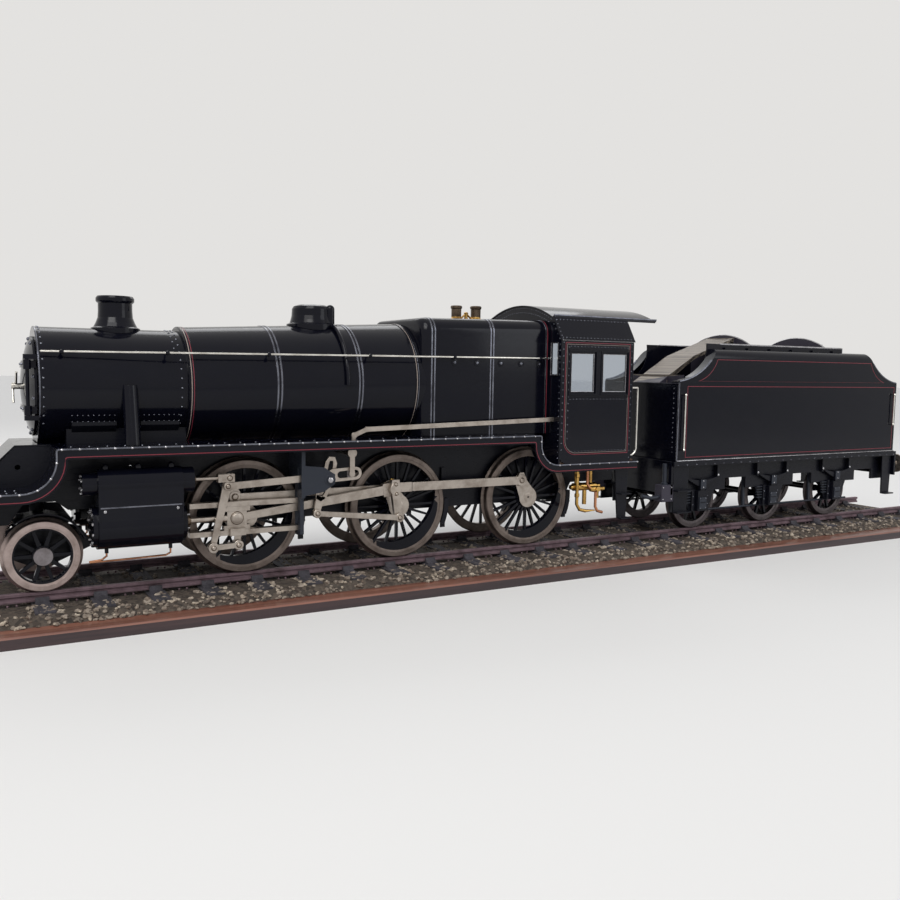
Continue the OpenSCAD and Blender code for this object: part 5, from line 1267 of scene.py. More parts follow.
@dataclass
class Cab:
    """Rivets, lining, window frames and gauges of the cab."""

    front: float = 333.0
    back: float = 432.0
    half: float = 81.0
    low: float = 90.5
    eaves: float = 223.5
    gutter: Pair = (65.0, 248.5)
    top: float = 263.5
    overhang: float = 477.0
    sheet: float = 1.45
    windows: tuple[Pair, ...] = ((345.0, 380.5), (388.0, 425.5))
    window_z: Pair = (166.0, 212.0)
    slit_y: Pair = (63.0, 75.5)
    slit_z: Pair = (186.0, 221.0)
    rail_x: float = 443.0
    rail_z: Pair = (97.0, 173.0)
    gauge_x: float = 343.4
    gauges: tuple[Point, ...] = ((-24.0, 222.0, 8.0), (24.0, 222.0, 8.0), (0.0, 206.0, 6.0))
    pipe_y: float = 72.0

    def sides(self) -> None:
        """Line and rivet the side sheets."""
        trim = Piece("cab_side_trim")
        columns = ((self.front + 3.2, 106.0, 221.0), (self.back - 2.0, 95.0, 221.0),
                   (self.front + 10.6, 118.0, 216.0))
        rows = ((346.0, 160.5), (350.0, 104.0), (346.0, 217.0))
        for side in NEAR_AND_FAR:
            y = side * self.half
            out = (0, side, 0)
            for inset, width, finish in ((0.0, 0.7, RED), (1.8, 0.35, CREAM)):
                bend = arc((self.front + 22.0, self.low + 26.0), 16.0 - inset, 180.0, 270.0)
                end, high = self.back - 4.4 - inset, self.eaves - 2.4 - inset
                square = [(end, self.low + 10.0 + inset), (end, high), (self.front + 6.0 + inset, high)]
                trim.line(upright(bend + square, y), out, width, finish, closed=True)
            for x, z0, z1 in columns:
                trim.rivets([(x, y, z0), (x, y, z1)], out, 7.4, 0.75)
            for x, z in rows:
                trim.rivets([(x, y, z), (424.0, y, z)], out, 4.7, 0.65)
            y -= side * 0.8
            trim.tube([(self.back, y, self.low + 2.0), (self.back, y, self.eaves)], 1.25, BLACK)
        trim.build()

    def frames(self) -> None:
        """Build the sliding window frames, their runners and the front windows' rims."""
        frames = Piece("window_frames")
        z0, z1 = self.window_z
        for side in NEAR_AND_FAR:
            proud = across(side, self.half - 0.4, self.half + 0.5)
            sunk = across(side, self.half - 2.6, self.half - 0.7)
            bars = ((1.1, 1.5, proud, BLACK), (-0.2, 2.4, sunk, BLACK), (-2.5, 0.5, sunk, SCREW))
            for x0, x1 in self.windows:
                for grow, bar, y, finish in bars:
                    ring = rectangle((x0 - grow, x1 + grow), (z0 - grow, z1 + grow))
                    hole = rectangle((x0 - grow + bar, x1 + grow - bar), (z0 - grow + bar, z1 + grow - bar))
                    frames.frame_plate(ring, hole, y, finish)
            for z in (z0 - 2.6, z1 + 1.8):
                frames.box((342.0, 428.0), across(side, self.half, self.half + 0.8), (z, z + 0.8), BLACK)
        proud = (self.front - 0.7, self.front + 0.2)
        for side in NEAR_AND_FAR:
            for y in self.slit_y:
                frames.box(proud, across(side, y - 0.5, y + 0.5), self.slit_z, SCREW)
            for z in (self.slit_z[0], self.slit_z[1] - 0.4):
                frames.box(proud, across(side, *self.slit_y), (z - 0.5, z + 0.5), SCREW)
        frames.build()

    def roof(self) -> None:
        """Rivet the roof and the edge of the front sheet."""
        roof = Piece("cab_roof_rivets")
        bow_rise = self.top - self.gutter[1]
        crown = (self.gutter[0] ** 2 + bow_rise ** 2) / (2.0 * bow_rise)
        for drop in (3.4, 8.2):
            reach = math.degrees(math.asin((self.gutter[0] - drop - 1.0) / (crown - drop)))
            bow = arc((0.0, self.top - crown), crown - drop, 90.0 - reach, 90.0 + reach, 24)
            roof.rivets([(self.front, y, z) for y, z in bow], (-1, 0, 0), 4.3, 0.7)
        lean, rise = self.half - self.gutter[0], self.gutter[1] - self.eaves
        for side in NEAR_AND_FAR:
            out = Vector((0.0, side * rise, lean)).normalized()
            for share in (0.08, 0.86):
                foot = Vector((0.0, side * (self.half - share * lean), self.eaves + share * rise))
                foot += self.sheet * out
                row = [(self.front + 2.0, foot.y, foot.z), (self.back + 1.0, foot.y, foot.z)]
                roof.rivets(row, out, 4.7, 0.75)
            slope = [Vector((self.front + 1.4, side * y, z)) + self.sheet * out
                     for y, z in ((self.half, self.eaves), self.gutter)]
            roof.rivets(slope, out, 4.6, 0.7)
            y = side * (self.half - 2.4)
            top = (self.front, side * (self.gutter[0] - 2.4), self.gutter[1] - 2.8)
            roof.rivets([(self.front, y, 97.0), (self.front, y, self.eaves), top], (-1, 0, 0), 6.4, 0.8)
            y, z = side * (self.gutter[0] + 1.6), self.gutter[1] + 1.9
            roof.tube([(self.front, y, z), (self.overhang, y, z)], 0.9, RIVET_HIGHLIGHT, 10)
            y, z = side * (self.gutter[0] - 4.0), self.gutter[1] + 2.6
            row = [(self.back + 4.0, y, z), (self.overhang - 2.0, y, z)]
            roof.rivets(row, (0, side * 0.4, 1), 5.0, 0.7)
        roof.build()

    def handrails(self) -> None:
        """Build the handrails behind the side sheets."""
        rails = Piece("cab_handrails", slot="bright_steel")
        x, start = self.rail_x, self.back - 0.5
        low, high = self.rail_z
        outline = [(start, high), (x, high), (x, high - 5.0), (x, low + 7.0), (x - 1.6, low + 3.0),
                   (x - 6.0, low), (start, low)]
        for side in NEAR_AND_FAR:
            rails.tube(upright(outline, side * (self.half - 3.0)), 1.0, NICKEL)
        rails.build()

    def backhead(self) -> None:
        """Fit the gauges on the back of the firebox."""
        gauges = Piece("boiler_gauges", slot="brass")
        for y, z, r in self.gauges:
            foot = (self.gauge_x, y, z)
            gauges.lathe(foot, (1, 0, 0), ((0.0, r), (3.4, r), (4.0, r - 0.8), (3.2, r - 1.2)), BRASS, 28)
            gauges.lathe(foot, (1, 0, 0), ((0.0, r - 1.0), (3.3, r - 1.0)), DIAL, 28)
            x = self.gauge_x + 3.5
            gauges.tube([(x, y, z), (x, y + 0.5 * r, z + 0.4 * r)], 0.3, BLACK, 6)
        gauges.build()
        face = self.gauge_x + 1.2
        LIBRARY.dress("backhead", lambda p: COPPER if p.x > face and 160 < p.z < 202 else BLACK)

    def pipes(self) -> None:
        """Build the water pipes, nuts and valve under the cab."""
        pipes = Piece("under_cab_pipes", slot="brass")
        feed = [(366.0, 86.0), (366.0, 44.0), (370.0, 38.0), (378.0, 36.0), (398.0, 36.0)]
        steam = [(380.0, 86.0), (380.0, 66.0), (384.0, 61.0), (392.0, 60.0), (404.0, 60.0)]
        waste = [(392.0, 60.0), (392.0, 40.0), (395.0, 35.0), (402.0, 33.0)]
        nut = ((0.0, 2.9), (3.4, 2.9), (4.0, 2.3))
        body = ((0.0, 2.6), (5.0, 3.6), (10.0, 3.6), (14.0, 2.4), (19.0, 2.2))
        wheel = ((0.0, 2.0), (3.4, 2.0), (3.8, 3.0), (5.0, 3.0))
        for side in NEAR_AND_FAR:
            y = side * self.pipe_y
            for path, radius, finish in ((feed, 1.9, BRASS), (steam, 1.6, COPPER), (waste, 1.6, COPPER)):
                pipes.tube(upright(path, y), radius, finish)
            for z in (78.0, 56.0):
                pipes.lathe((366.0, y, z), (0, 0, -1), nut, BRASS, 6)
            pipes.lathe((384.0, y, 60.0), (1, 0, 0), body, BRASS, 20)
            pipes.lathe((392.0, y, 60.0), (0, side, 0), wheel, BRASS, 8)
        pipes.build()

    def build(self) -> None:
        """Build the cab's pieces."""
        self.sides()
        self.frames()
        self.roof()
        self.handrails()
        self.backhead()
        self.pipes()
        planks = self.low + 3.5
        LIBRARY.dress("cab_floor", lambda place: PLANKS if place.z < planks else BLACK)


@dataclass
class Cylinders:
    """Covers, studs and seams of the cylinders, with their drain pipes and rod glands."""

    front: float = -131.0
    back: float = -62.0
    chest_x: float = -143.0
    gland_x: float = -52.0
    side_y: float = 78.25
    bore_r: float = 17.0
    seam_z: float = 71.6
    drain_z: float = 31.5

    def cladding(self, trim: Piece, side: float) -> None:
        """Trim the cladding of one side.

        Args:
            trim: The piece that the trim joins.
            side: Side of the engine.
        """
        y = side * self.side_y
        out = (0, side, 0)
        seam = [(self.front + 1.0, y, self.seam_z), (self.back - 1.0, y, self.seam_z)]
        trim.line(seam, out, 1.2, RIVET_HIGHLIGHT, lift=0.35)
        screw = ((-0.3, 1.3), (0.6, 1.3), (0.9, 0.7))
        for x in (self.front + 5.0, self.back - 5.0):
            trim.lathe((x, y, self.seam_z - 3.0), out, screw, SCREW, 12)
        for x in (self.front + 0.7, self.back - 0.7):
            trim.line([(x, y, 54.0), (x, y, self.seam_z + 0.9)], out, 1.4, BLACK, lift=0.4)

    def studs(self, trim: Piece, side: float) -> None:
        """Fit the studs of the front covers and the oil plugs above the valve.

        Args:
            trim: The piece that they join.
            side: Side of the engine.
        """
        stud = ((-0.4, 1.3), (1.0, 1.3), (1.3, 0.8))
        bore = (self.front - 4.0, self.bore_r - 2.4, 10, BORE_Y, BORE_Z)
        chest = (self.chest_x, 7.2, 6, VALVE_Y, VALVE_Z)
        for x, r, count, y, z in (bore, chest):
            for turn in even_turns(count, 0.5):
                foot = (x, side * (y + r * math.cos(turn)), z + r * math.sin(turn))
                trim.lathe(foot, (-1, 0, 0), stud, SCREW, 6)
        for x in (self.front + 7.0, self.front + 27.0, self.back - 7.0):
            trim.dome((x, side * VALVE_Y, VALVE_Z + 14.6), (0, 0, 1), 1.3, SCREW)

    def drains(self, trim: Piece, side: float) -> None:
        """Run the drain pipes of one side forward.

        Args:
            trim: The piece that they join.
            side: Side of the engine.
        """
        y, z = side * BORE_Y, self.drain_z
        front, back, mouth = self.front + 8.0, self.back - 8.0, self.front - 6.0
        first = [(front, y, z), (front, y, z - 3.5), (front - 4.0, y, z - 6.5), (mouth, y, z - 7.5)]
        second = [(back, y, z), (back, y, z - 4.9), (back - 4.0, y, z - 6.9),
                  (mouth, y + side * 3.0, z - 7.5)]
        trim.tube(first, 0.9, COPPER, 8)
        trim.tube(second, 0.9, COPPER, 8)

    def glands(self) -> None:
        """Build the glands of the piston rods and valve rods."""
        glands = Piece("rod_glands", slot="brass")
        flange = ((-2.0, 4.6), (0.0, 4.6), (0.8, 4.2), (0.8, 2.75))
        stud = ((-1.5, 1.1), (2.4, 1.1), (2.8, 0.7))
        nut = ((-0.5, 3.6), (2.2, 3.6), (2.8, 2.9), (2.8, 1.75))
        for side in NEAR_AND_FAR:
            x, y = self.back + 8.6, side * BORE_Y
            glands.lathe((x, y, BORE_Z), (1, 0, 0), flange, BRONZE, 24)
            for step in (-6.0, 6.0):
                glands.lathe((x - 2.0, y, BORE_Z + step), (1, 0, 0), stud, SCREW, 6)
            glands.lathe((self.gland_x, side * VALVE_Y, VALVE_Z), (1, 0, 0), nut, BRONZE, 20)
        glands.build()

    def build(self) -> None:
        """Build the trim and the glands on both sides."""
        trim = Piece("cylinder_trim")
        for side in NEAR_AND_FAR:
            self.cladding(trim, side)
            self.studs(trim, side)
            self.drains(trim, side)
        trim.build()
        self.glands()
        rear, rod_side = self.back + 8.0, 66.0
        LIBRARY.dress("cylinder_covers", lambda p: IRON if p.x > rear and abs(p.y) < rod_side else BLACK)


@dataclass
class Motion:
    """Rods and outside valve gear, laid out from the crank angle as the frame's own pins are."""

    rod: float = 158.7
    return_r: float = 11.8
    return_lead: float = 108.0
    eccentric: float = 86.6
    foot: float = 33.8
    rise: float = 3.5
    radius_rod: float = 96.6
    drop: float = 7.5
    lever: float = 63.8
    union: float = 22.6
    drop_arm: float = 23.5
    trunnion: Pair = (74.0, 85.5)
    knuckle: float = 24.0
    bars: Pair = (-54.0, 46.0)
    bar_z: float = 13.0
    shoe_z: Pair = (6.4, 10.6)
    coupling_y: Pair = (52.35, 55.95)
    con_y: Pair = (57.95, 62.95)
    shoe_y: Pair = (56.45, 64.45)
    inner_y: Pair = (65.45, 68.05)
    outer_y: Pair = (68.45, 71.05)
    crank_y: Pair = (63.6, 68.0)
    fork_y: float = 70.4

    def solve(self, crank: float) -> dict[str, Vector]:
        """Work out where the pins stand.

        Args:
            crank: Crank angle in degrees, from straight back and turning up.

        Returns:
            Places in X and Z by name, and the link's own upward direction.
        """
        axle = AXLES[1]
        turn = math.radians(crank)
        pin = Vector((axle + THROW * math.cos(turn), AXLE_Z + THROW * math.sin(turn)))
        cross = Vector((pin.x - math.sqrt(self.rod ** 2 - (pin.y - BORE_Z) ** 2), BORE_Z))
        turn = math.radians(crank + self.return_lead)
        back = Vector((axle + self.return_r * math.cos(turn), AXLE_Z + self.return_r * math.sin(turn)))
        pivot = Vector(self.trunnion)
        gap = (back - pivot).length
        along = (back - pivot) / gap
        share = (self.foot ** 2 - self.eccentric ** 2 + gap ** 2) / (2.0 * gap)
        down = math.sqrt(self.foot ** 2 - share ** 2)
        foot = pivot + share * along + down * Vector((along.y, -along.x))
        up = (pivot - foot) / self.foot
        die = pivot + self.rise * up
        hang = Vector((cross.x - 0.5, BORE_Z - self.drop_arm))
        top = Vector((0.0, VALVE_Z))
        first_guess, tries = math.radians(13.0), 12
        lean = first_guess
        for _ in range(tries):
            height = die.y - (VALVE_Z - self.drop * math.cos(lean))
            top.x = die.x - math.sqrt(self.radius_rod ** 2 - height ** 2) + self.drop * math.sin(lean)
            low = VALVE_Z - self.lever * math.cos(lean)
            reach = hang.x - math.sqrt(self.union ** 2 - (hang.y - low) ** 2)
            lean = math.asin((top.x - reach) / self.lever)
        lever = Vector((math.sin(lean), math.cos(lean)))
        return {
            "pin": pin, "cross": cross, "back": back, "foot": foot, "up": up, "die": die, "hang": hang,
            "top": top, "joint": top - self.drop * lever, "low": top - self.lever * lever,
        }

    def bar(self, piece: Piece, side: float, y: Pair, ends: tuple[Vector, Vector], depths: Pair,
            eyes: Pair) -> None:
        """Add a flat rod with a round eye at each end.

        Args:
            piece: The piece that it joins.
            side: Side of the engine.
            y: Its two faces, outwards from the middle.
            ends: Its two pins.
            depths: Depth of the rod at each end.
            eyes: Radius of the eye at each end, or zero for none.
        """
        p, q = ends
        half = (0.5 * depths[0], 0.5 * depths[1])
        outline = quad(p, q - p, (0.0, (q - p).length), (-half[0], -half[1]), half)
        piece.plate(outline, across(side, *y), BRIGHT)
        width, chamfer = y[1] - y[0] + 0.35, 0.3
        for place, eye in zip(ends, eyes):
            if eye > 0.0:
                profile = ((0.0, eye), (width - chamfer, eye), (width, eye - chamfer))
                piece.lathe((place.x, side * (y[0] - 0.1), place.y), (0, side, 0), profile, BRIGHT, 28)

    def pin_head(self, piece: Piece, side: float, y: float, place: Vector, radius: float) -> None:
        """Add a pin's head with its dark ring.

        Args:
            piece: The piece that it joins.
            side: Side of the engine.
            y: The face that it stands on, outwards from the middle.
            place: Its middle in X and Z.
            radius: Its radius.
        """
        foot = (place.x, side * y, place.y)
        ring = ((-0.6, radius + 0.7), (0.25, radius + 0.7))
        head = ((-0.6, radius), (0.6, radius), (0.9, radius - 0.4))
        piece.lathe(foot, (0, side, 0), ring, BRONZE, 18)
        piece.lathe(foot, (0, side, 0), head, BRIGHT, 18)

    def rods(self, side: float, pins: dict[str, Vector], rods: Piece) -> None:
        """Build the coupling rods and the connecting rod of one side.

        Args:
            side: Side of the engine.
            pins: Places from solve.
            rods: The piece that they join.
        """
        pin = pins["pin"]
        first = pin - Vector((AXLES[1] - AXLES[0], 0.0))
        last = pin + Vector((AXLES[2] - AXLES[1], 0.0))
        joint = pin + Vector((self.knuckle, 0.0))
        self.bar(rods, side, self.coupling_y, (first, pin), (5.6, 6.6), (5.4, 6.6))
        self.bar(rods, side, self.coupling_y, (joint, last), (8.8, 8.8), (0.0, 6.4))
        proud = across(side, self.coupling_y[0] - 0.15, self.coupling_y[1] + 0.15)
        rods.box((pin.x, joint.x - 0.4), proud, (pin.y - 4.8, pin.y + 4.8), BRIGHT)
        rods.box((joint.x - 0.5, joint.x + 0.1), proud, (pin.y - 4.5, pin.y + 4.5), IRON)
        for place in (first, last):
            oil_box = quad(place, UP, (3.4, 8.6), (-5.0, -2.6), (5.0, 2.6))
            rods.plate(oil_box, across(side, *self.coupling_y), BRIGHT)
            self.pin_head(rods, side, self.coupling_y[1] + 0.4, place, 2.4)
        self.bar(rods, side, self.con_y, (pins["cross"], pin), (6.6, 9.4), (5.0, 7.6))
        run = pin - pins["cross"]
        strap = quad(pin, run, (-11.5, -1.0), (-6.4, -6.8), (6.4, 6.8))
        rods.plate(strap, across(side, self.con_y[0] - 0.3, self.con_y[1] + 0.3), BRIGHT)
        cotter = quad(pin, run, (-9.0, -7.2), (-7.6, -7.6), (7.8, 7.8))
        rods.plate(cotter, across(side, 59.6, 61.4), BRONZE)
        cup = ((-1.0, 2.4), (2.6, 2.4), (3.2, 1.8))
        rods.lathe((pin.x - 1.0, side * 60.4, pin.y + 7.0), (0, 0, 1), cup, BRASS, 16)

    def crosshead(self, side: float, pins: dict[str, Vector], heads: Piece) -> None:
        """Build the slide bars, crosshead, piston rod and valve rod of one side.

        Args:
            side: Side of the engine.
            pins: Places from solve.
            heads: The piece that they join.
        """
        x, y = pins["cross"].x, side * BORE_Y
        half_shoe, bar_t = 12.0, 2.3
        for sign in NEAR_AND_FAR:
            z = BORE_Z + sign * self.bar_z
            heads.box(self.bars, across(side, *self.shoe_y), (z - bar_t, z + bar_t), BRIGHT)
        for sign in NEAR_AND_FAR:
            low, high = across(sign, *self.shoe_z)
            shoe = (x - half_shoe, x + half_shoe)
            heads.box(shoe, across(side, *self.shoe_y), (BORE_Z + low, BORE_Z + high), BRIGHT)
        cheek_z = (BORE_Z - 10.4, BORE_Z + 10.4)
        for end, faces in ((x + 9.0, (62.6, 63.8)), (x + 9.0, (56.6, 57.8)), (x - 6.2, (57.0, 63.4))):
            heads.box((x - 9.0, end), across(side, *faces), cheek_z, BRIGHT)
        washer = ((0.0, 5.4), (0.8, 5.4), (0.8, 4.5), (1.5, 4.5), (1.9, 3.9))
        heads.lathe((x, side * 63.6, BORE_Z), (0, side, 0), washer, BRIGHT, 28)
        heads.lathe((x, side * 63.7, BORE_Z), (0, side, 0), ((0.0, 6.1), (0.3, 6.1)), BRONZE, 28)
        heads.tube([(self.bars[0], y, BORE_Z), (x - 15.0, y, BORE_Z)], 2.6, BRIGHT, 20)
        heads.tube([(x - 16.0, y, BORE_Z), (x - 8.0, y, BORE_Z)], 3.8, BRIGHT, 20)
        y = side * VALVE_Y
        heads.tube([(-52.0, y, VALVE_Z), (pins["top"].x - 9.0, y, VALVE_Z)], 1.75, BRIGHT, 16)
        heads.box((x - 7.2, x + 7.2), across(side, 64.4, 68.0), (BORE_Z - 15.4, BORE_Z - 9.0), BRIGHT)
        arm = quad(pins["hang"], UP, (0.0, self.drop_arm - 10.0), (-2.7, -3.7), (2.7, 2.3))
        heads.plate(arm, across(side, 64.6, 66.6), BRIGHT)

    def valve_gear(self, side: float, pins: dict[str, Vector], gear: Piece) -> None:
        """Build the lever, links, rods and return crank of one side.

        Args:
            side: Side of the engine.
            pins: Places from solve.
            gear: The piece that they join.
        """
        top, low, joint, hang = pins["top"], pins["low"], pins["joint"], pins["hang"]
        die, foot, back, pin = pins["die"], pins["foot"], pins["back"], pins["pin"]
        self.bar(gear, side, self.inner_y, (top, low), (8.4, 5.0), (4.2, 4.6))
        fork_z = (VALVE_Z - 3.6, VALVE_Z + 3.6)
        fork = ((10.0, 4.4, (63.0, 65.2)), (10.0, 4.4, (68.3, self.fork_y)), (10.4, -5.6, (63.4, 70.0)))
        for start, end, faces in fork:
            gear.box((top.x - start, top.x + end), across(side, *faces), fork_z, BRIGHT)
        self.pin_head(gear, side, self.fork_y, top, 1.9)
        self.bar(gear, side, self.outer_y, (low, hang), (4.8, 4.8), (4.7, 4.4))
        self.bar(gear, side, self.outer_y, (joint, die), (6.2, 6.4), (3.9, 4.2))
        self.bar(gear, side, self.outer_y, (foot, back), (4.8, 5.4), (4.2, 4.6))
        run = (die - joint).normalized()
        tail = die + 26.5 * run
        outer = stadium(die + 4.0 * run, tail, 6.2)
        slot = stadium(die + 11.0 * run, tail, 3.3)
        gear.frame_plate(outer, slot, across(side, *self.outer_y), BRIGHT)
        block = quad(die, run, (18.0, 23.0), (-3.4, -3.4), (3.4, 3.4))
        gear.plate(block, across(side, 69.0, 70.8), HUB)
        self.link(side, pins, gear)
        self.bar(gear, side, self.crank_y, (pin, back), (9.6, 7.4), (6.2, 4.4))
        cap = quad(pin, UP, (2.0, 9.4), (-5.0, -4.0), (5.0, 4.0))
        gear.plate(cap, across(side, 63.4, 67.4), BRIGHT)
        for place in (pin.lerp(back, 0.16), pin.lerp(back, -0.02) + 4.4 * UP):
            self.pin_head(gear, side, self.crank_y[1] + 0.2, place, 1.3)
        for place, radius in ((low, 1.7), (hang, 1.7), (joint, 1.6), (foot, 1.7), (back, 1.7)):
            self.pin_head(gear, side, self.outer_y[1] + 0.4, place, radius)

    def link_outline(self, up: Vector, width: float, half: float, pinch: float) -> list[Vector]:
        """Follow the curved link or its slot.

        Args:
            up: The link's upward direction.
            width: Width of the outline.
            half: Half its length along the curve.
            pinch: How far each side draws in over the last fifth.

        Returns:
            The outline's points.
        """
        right = Vector((up.y, -up.x))
        centre = Vector(self.trunnion) - self.radius_rod * right
        steps, last_fifth = 8, 0.2
        points = []
        for sign in (1.0, -1.0):
            for k in range(steps + 1):
                along = sign * half * (2.0 * k / steps - 1.0)
                drawn_in = pinch * max(0.0, abs(along) / half - 1.0 + last_fifth) / last_fifth
                reach = self.radius_rod + sign * (width / 2.0 - drawn_in)
                turn = along / self.radius_rod
                points.append(centre + reach * (math.cos(turn) * right + math.sin(turn) * up))
        return points

    def link(self, side: float, pins: dict[str, Vector], gear: Piece) -> None:
        """Build the curved slotted link of one side.

        Args:
            side: Side of the engine.
            pins: Places from solve.
            gear: The piece that it joins.
        """
        up, foot = pins["up"], pins["foot"]
        faces = across(side, *self.inner_y)
        outer = self.link_outline(up, 11.8, 21.5, 3.0)
        slot = self.link_outline(up, 4.6, 17.6, 0.6)
        gear.frame_plate(outer, slot, faces, BRIGHT)
        arm = quad(Vector(self.trunnion), -up, (17.0, self.foot), (-5.6, -2.8), (3.4, 2.8))
        gear.plate(arm, faces, BRIGHT)
        self.bar(gear, side, self.inner_y, (foot - 0.1 * up, foot + 0.1 * up), (4.0, 4.0), (4.0, 4.0))

    def build(self) -> None:
        """Build both sides, the far one a quarter turn ahead."""
        rods = Piece("coupling_and_connecting_rods", slot="bright_steel")
        heads = Piece("crossheads_and_slide_bars", slot="bright_steel")
        gear = Piece("outside_valve_gear", slot="bright_steel")
        x, z = self.trunnion
        washer = ((-1.0, 5.4), (0.5, 5.4), (0.8, 4.6))
        bolt = ((-0.5, 2.6), (2.0, 2.6), (2.5, 1.8))
        for side, crank in zip(NEAR_AND_FAR, (NEAR_CRANK, FAR_CRANK)):
            pins = self.solve(crank)
            self.rods(side, pins, rods)
            self.crosshead(side, pins, heads)
            self.valve_gear(side, pins, gear)
            heads.lathe((x, side * 74.4, z), (0, side, 0), washer, BLUED, 24)
            heads.lathe((x, side * 74.8, z), (0, side, 0), bolt, SCREW, 18)
        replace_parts(rods.build(), "connecting_rods", "coupling_rods")
        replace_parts(heads.build(), "slide_bars", "crossheads", "piston_rods")
        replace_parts(gear.build(), "return_cranks", "eccentric_rods", "expansion_links", "radius_rods",
                    "combination_levers", "union_links")
        LIBRARY.dress("motion_brackets", lambda place: BLUED)


@dataclass
class Tender:
    """Lining, beading, bolts and small pieces of the tender."""

    half: float = 68.0
    front: float = 515.0
    back: float = 923.0
    floor: float = 85.5
    shoulder: float = 220.0
    end: float = 180.0
    sweep_run: float = 70.0
    shoulder_bead: float = 209.0
    axles: tuple[float, float, float] = (561.4, 685.2, 809.0)
    box_y: float = 67.0
    valance_y: float = 72.0
    hopper: Pair = (650.0, 792.0)
    coal_y: float = 54.0
    arch: float = 240.5
    coal_top: float = 226.5
    plates: Pair = (593.0, 820.0)
    brackets: tuple[float, ...] = (600.0, 640.0, 680.0, 720.0, 760.0, 800.0)
    brake_y: float = 52.6
    brake_z: float = 22.0
    valve_x: Pair = (494.0, 512.0)
    valve_z: Pair = (38.0, 58.0)
    lid_x: float = 34.0

    def sweep(self, x: float) -> float:
        """Find the height of the side sheet's top edge.

        Args:
            x: Place along the tank.

        Returns:
            The height, swept down towards both ends.
        """
        rise = self.shoulder - self.end
        radius = (self.sweep_run ** 2 + rise ** 2) / (2.0 * rise)
        heights = [self.shoulder]
        for middle in (self.front - 8.0, self.back + 8.0):
            off = abs(x - middle)
            if off < radius:
                heights.append(self.end + radius - math.sqrt(radius ** 2 - off ** 2))
        return min(heights)

    def tank_finish(self, place: Vector) -> Finish:
        """Choose the finish of the tank at a place: grey on its deck and in the coal space."""
        inside = self.hopper[0] < place.x < self.hopper[1] and abs(place.y) < self.coal_y - 0.5
        return GREY if place.z > self.end - 2.5 or (inside and place.z > 100.0) else BLACK

    def coal_finish(self, place: Vector) -> Finish:
        """Choose the finish of the coal plates at a place.

        Args:
            place: The place in the engine's millimetres.

        Returns:
            Chequer plate for the chute, grey inside and at the back, black elsewhere.
        """
        if abs(place.y) < 24.5 and place.x < self.hopper[0] - 2.0 and place.z > self.end + 1.0:
            return CHEQUER
        inside = abs(place.y) < self.coal_y - 1.7
        return GREY if inside or place.x > self.hopper[1] - 1.0 else BLACK

    def lining(self, trim: Piece, side: float) -> None:
        """Line one side of the tank.

        Args:
            trim: The piece that the lines join.
            side: Side of the tender.
        """
        y = side * self.half
        out = (0, side, 0)
        panel = rectangle((self.front + 14.0, self.back - 5.0), (90.0, 174.6))
        trim.line(upright(panel, y), out, 0.75, RED, closed=True)
        high = 207.0
        bow = arc((self.front + 22.0, 222.0), 42.0, 282.0, 342.0, 10)
        left = [(x, z) for x, z in bow if z < high] + [(self.front + 61.0, high)]
        right = [(self.back + self.front - x + 3.0, z) for x, z in reversed(left)]
        trim.line(upright(left + right, y), out, 0.7, RED, closed=True)

    def beading(self, trim: Piece, side: float) -> None:
        """Bead the edges of one side of the tank, and screw its running plate.

        Args:
            trim: The piece that the beads join.
            side: Side of the tender.
        """
        out = (0, side, 0)
        steps, inset = 80, 0.8
        run = self.back - self.front - 2.0 * inset
        places = [self.front + inset + run * k / steps for k in range(steps + 1)]
        swept = [(x, side * (self.half - 1.0), self.sweep(x)) for x in places]
        low = [point for point in swept if point[2] <= self.shoulder_bead]
        middle = (self.front + self.back) / 2.0
        # The pale beads along the sweep and the front edge are a painted highlight on the black sheet's
        # edges.
        trim.tube([point for point in low if point[0] < middle], 1.2, RIVET_HIGHLIGHT, 8)
        trim.tube([point for point in low if point[0] > middle], 1.2, RIVET_HIGHLIGHT, 8)
        x, y = self.front + 0.4, side * (self.half - 0.4)
        trim.tube([(x, y, self.floor), (x, y, self.end - 1.0)], 1.1, RIVET_HIGHLIGHT, 8)
        y, z = side * (self.half + 0.6), self.floor + 0.5
        trim.tube([(self.front, y, z), (self.back, y, z)], 0.9, SCREW, 8)
        y = side * self.valance_y
        trim.line([(self.front - 7.0, y, 82.5), (self.back + 1.0, y, 82.5)], out, 4.6, BLACK, lift=0.5)
        y += side * 0.4
        trim.rivets([(self.front - 1.0, y, 81.4), (self.back - 4.0, y, 81.4)], out, 15.0, 0.75)

    def top(self) -> None:
        """Finish the chute, bulkheads and coal plates, and bead their upper edges."""
        LIBRARY.dress("tender_coal_plates", self.coal_finish)
        LIBRARY.dress("tender_tank", self.tank_finish)
        deck = self.end - 2.0
        high = self.coal_top - 0.3
        start, end = self.plates
        trim = Piece("coal_space_trim")
        for side in NEAR_AND_FAR:
            y = side * (self.coal_y - 0.8)
            # The pale bead along the coal plates' top edge is a painted highlight.
            trim.tube([(start, y, high), (end, y, high)], 1.1, SCREW, 8)
            trim.tube([(end, y, high), (end + 1.5, y, high - 2.7), (end + 1.5, y, deck)], 1.0, RIVET_HIGHLIGHT, 8)
            for x in self.brackets:
                faces = across(side, abs(y), abs(y) + 3.4)
                trim.box((x - 0.6, x + 0.6), faces, (deck + 0.2, high - 3.7), BLACK)
        chord = self.coal_y - 1.6
        rise = self.arch - self.coal_top + 2.0
        radius = (chord ** 2 + rise ** 2) / (2.0 * rise)
        reach = math.degrees(math.asin(chord / radius)) - 0.6
        # Pale beads over the bulkhead arches: painted highlight on their top edges.
        for x in self.hopper:
            bow = arc((0.0, self.arch - radius), radius - 0.2, 90.0 - reach, 90.0 + reach, 24)
            trim.tube([(x + 0.8, y, z) for y, z in bow], 1.0, SCREW, 8)
        trim.build()

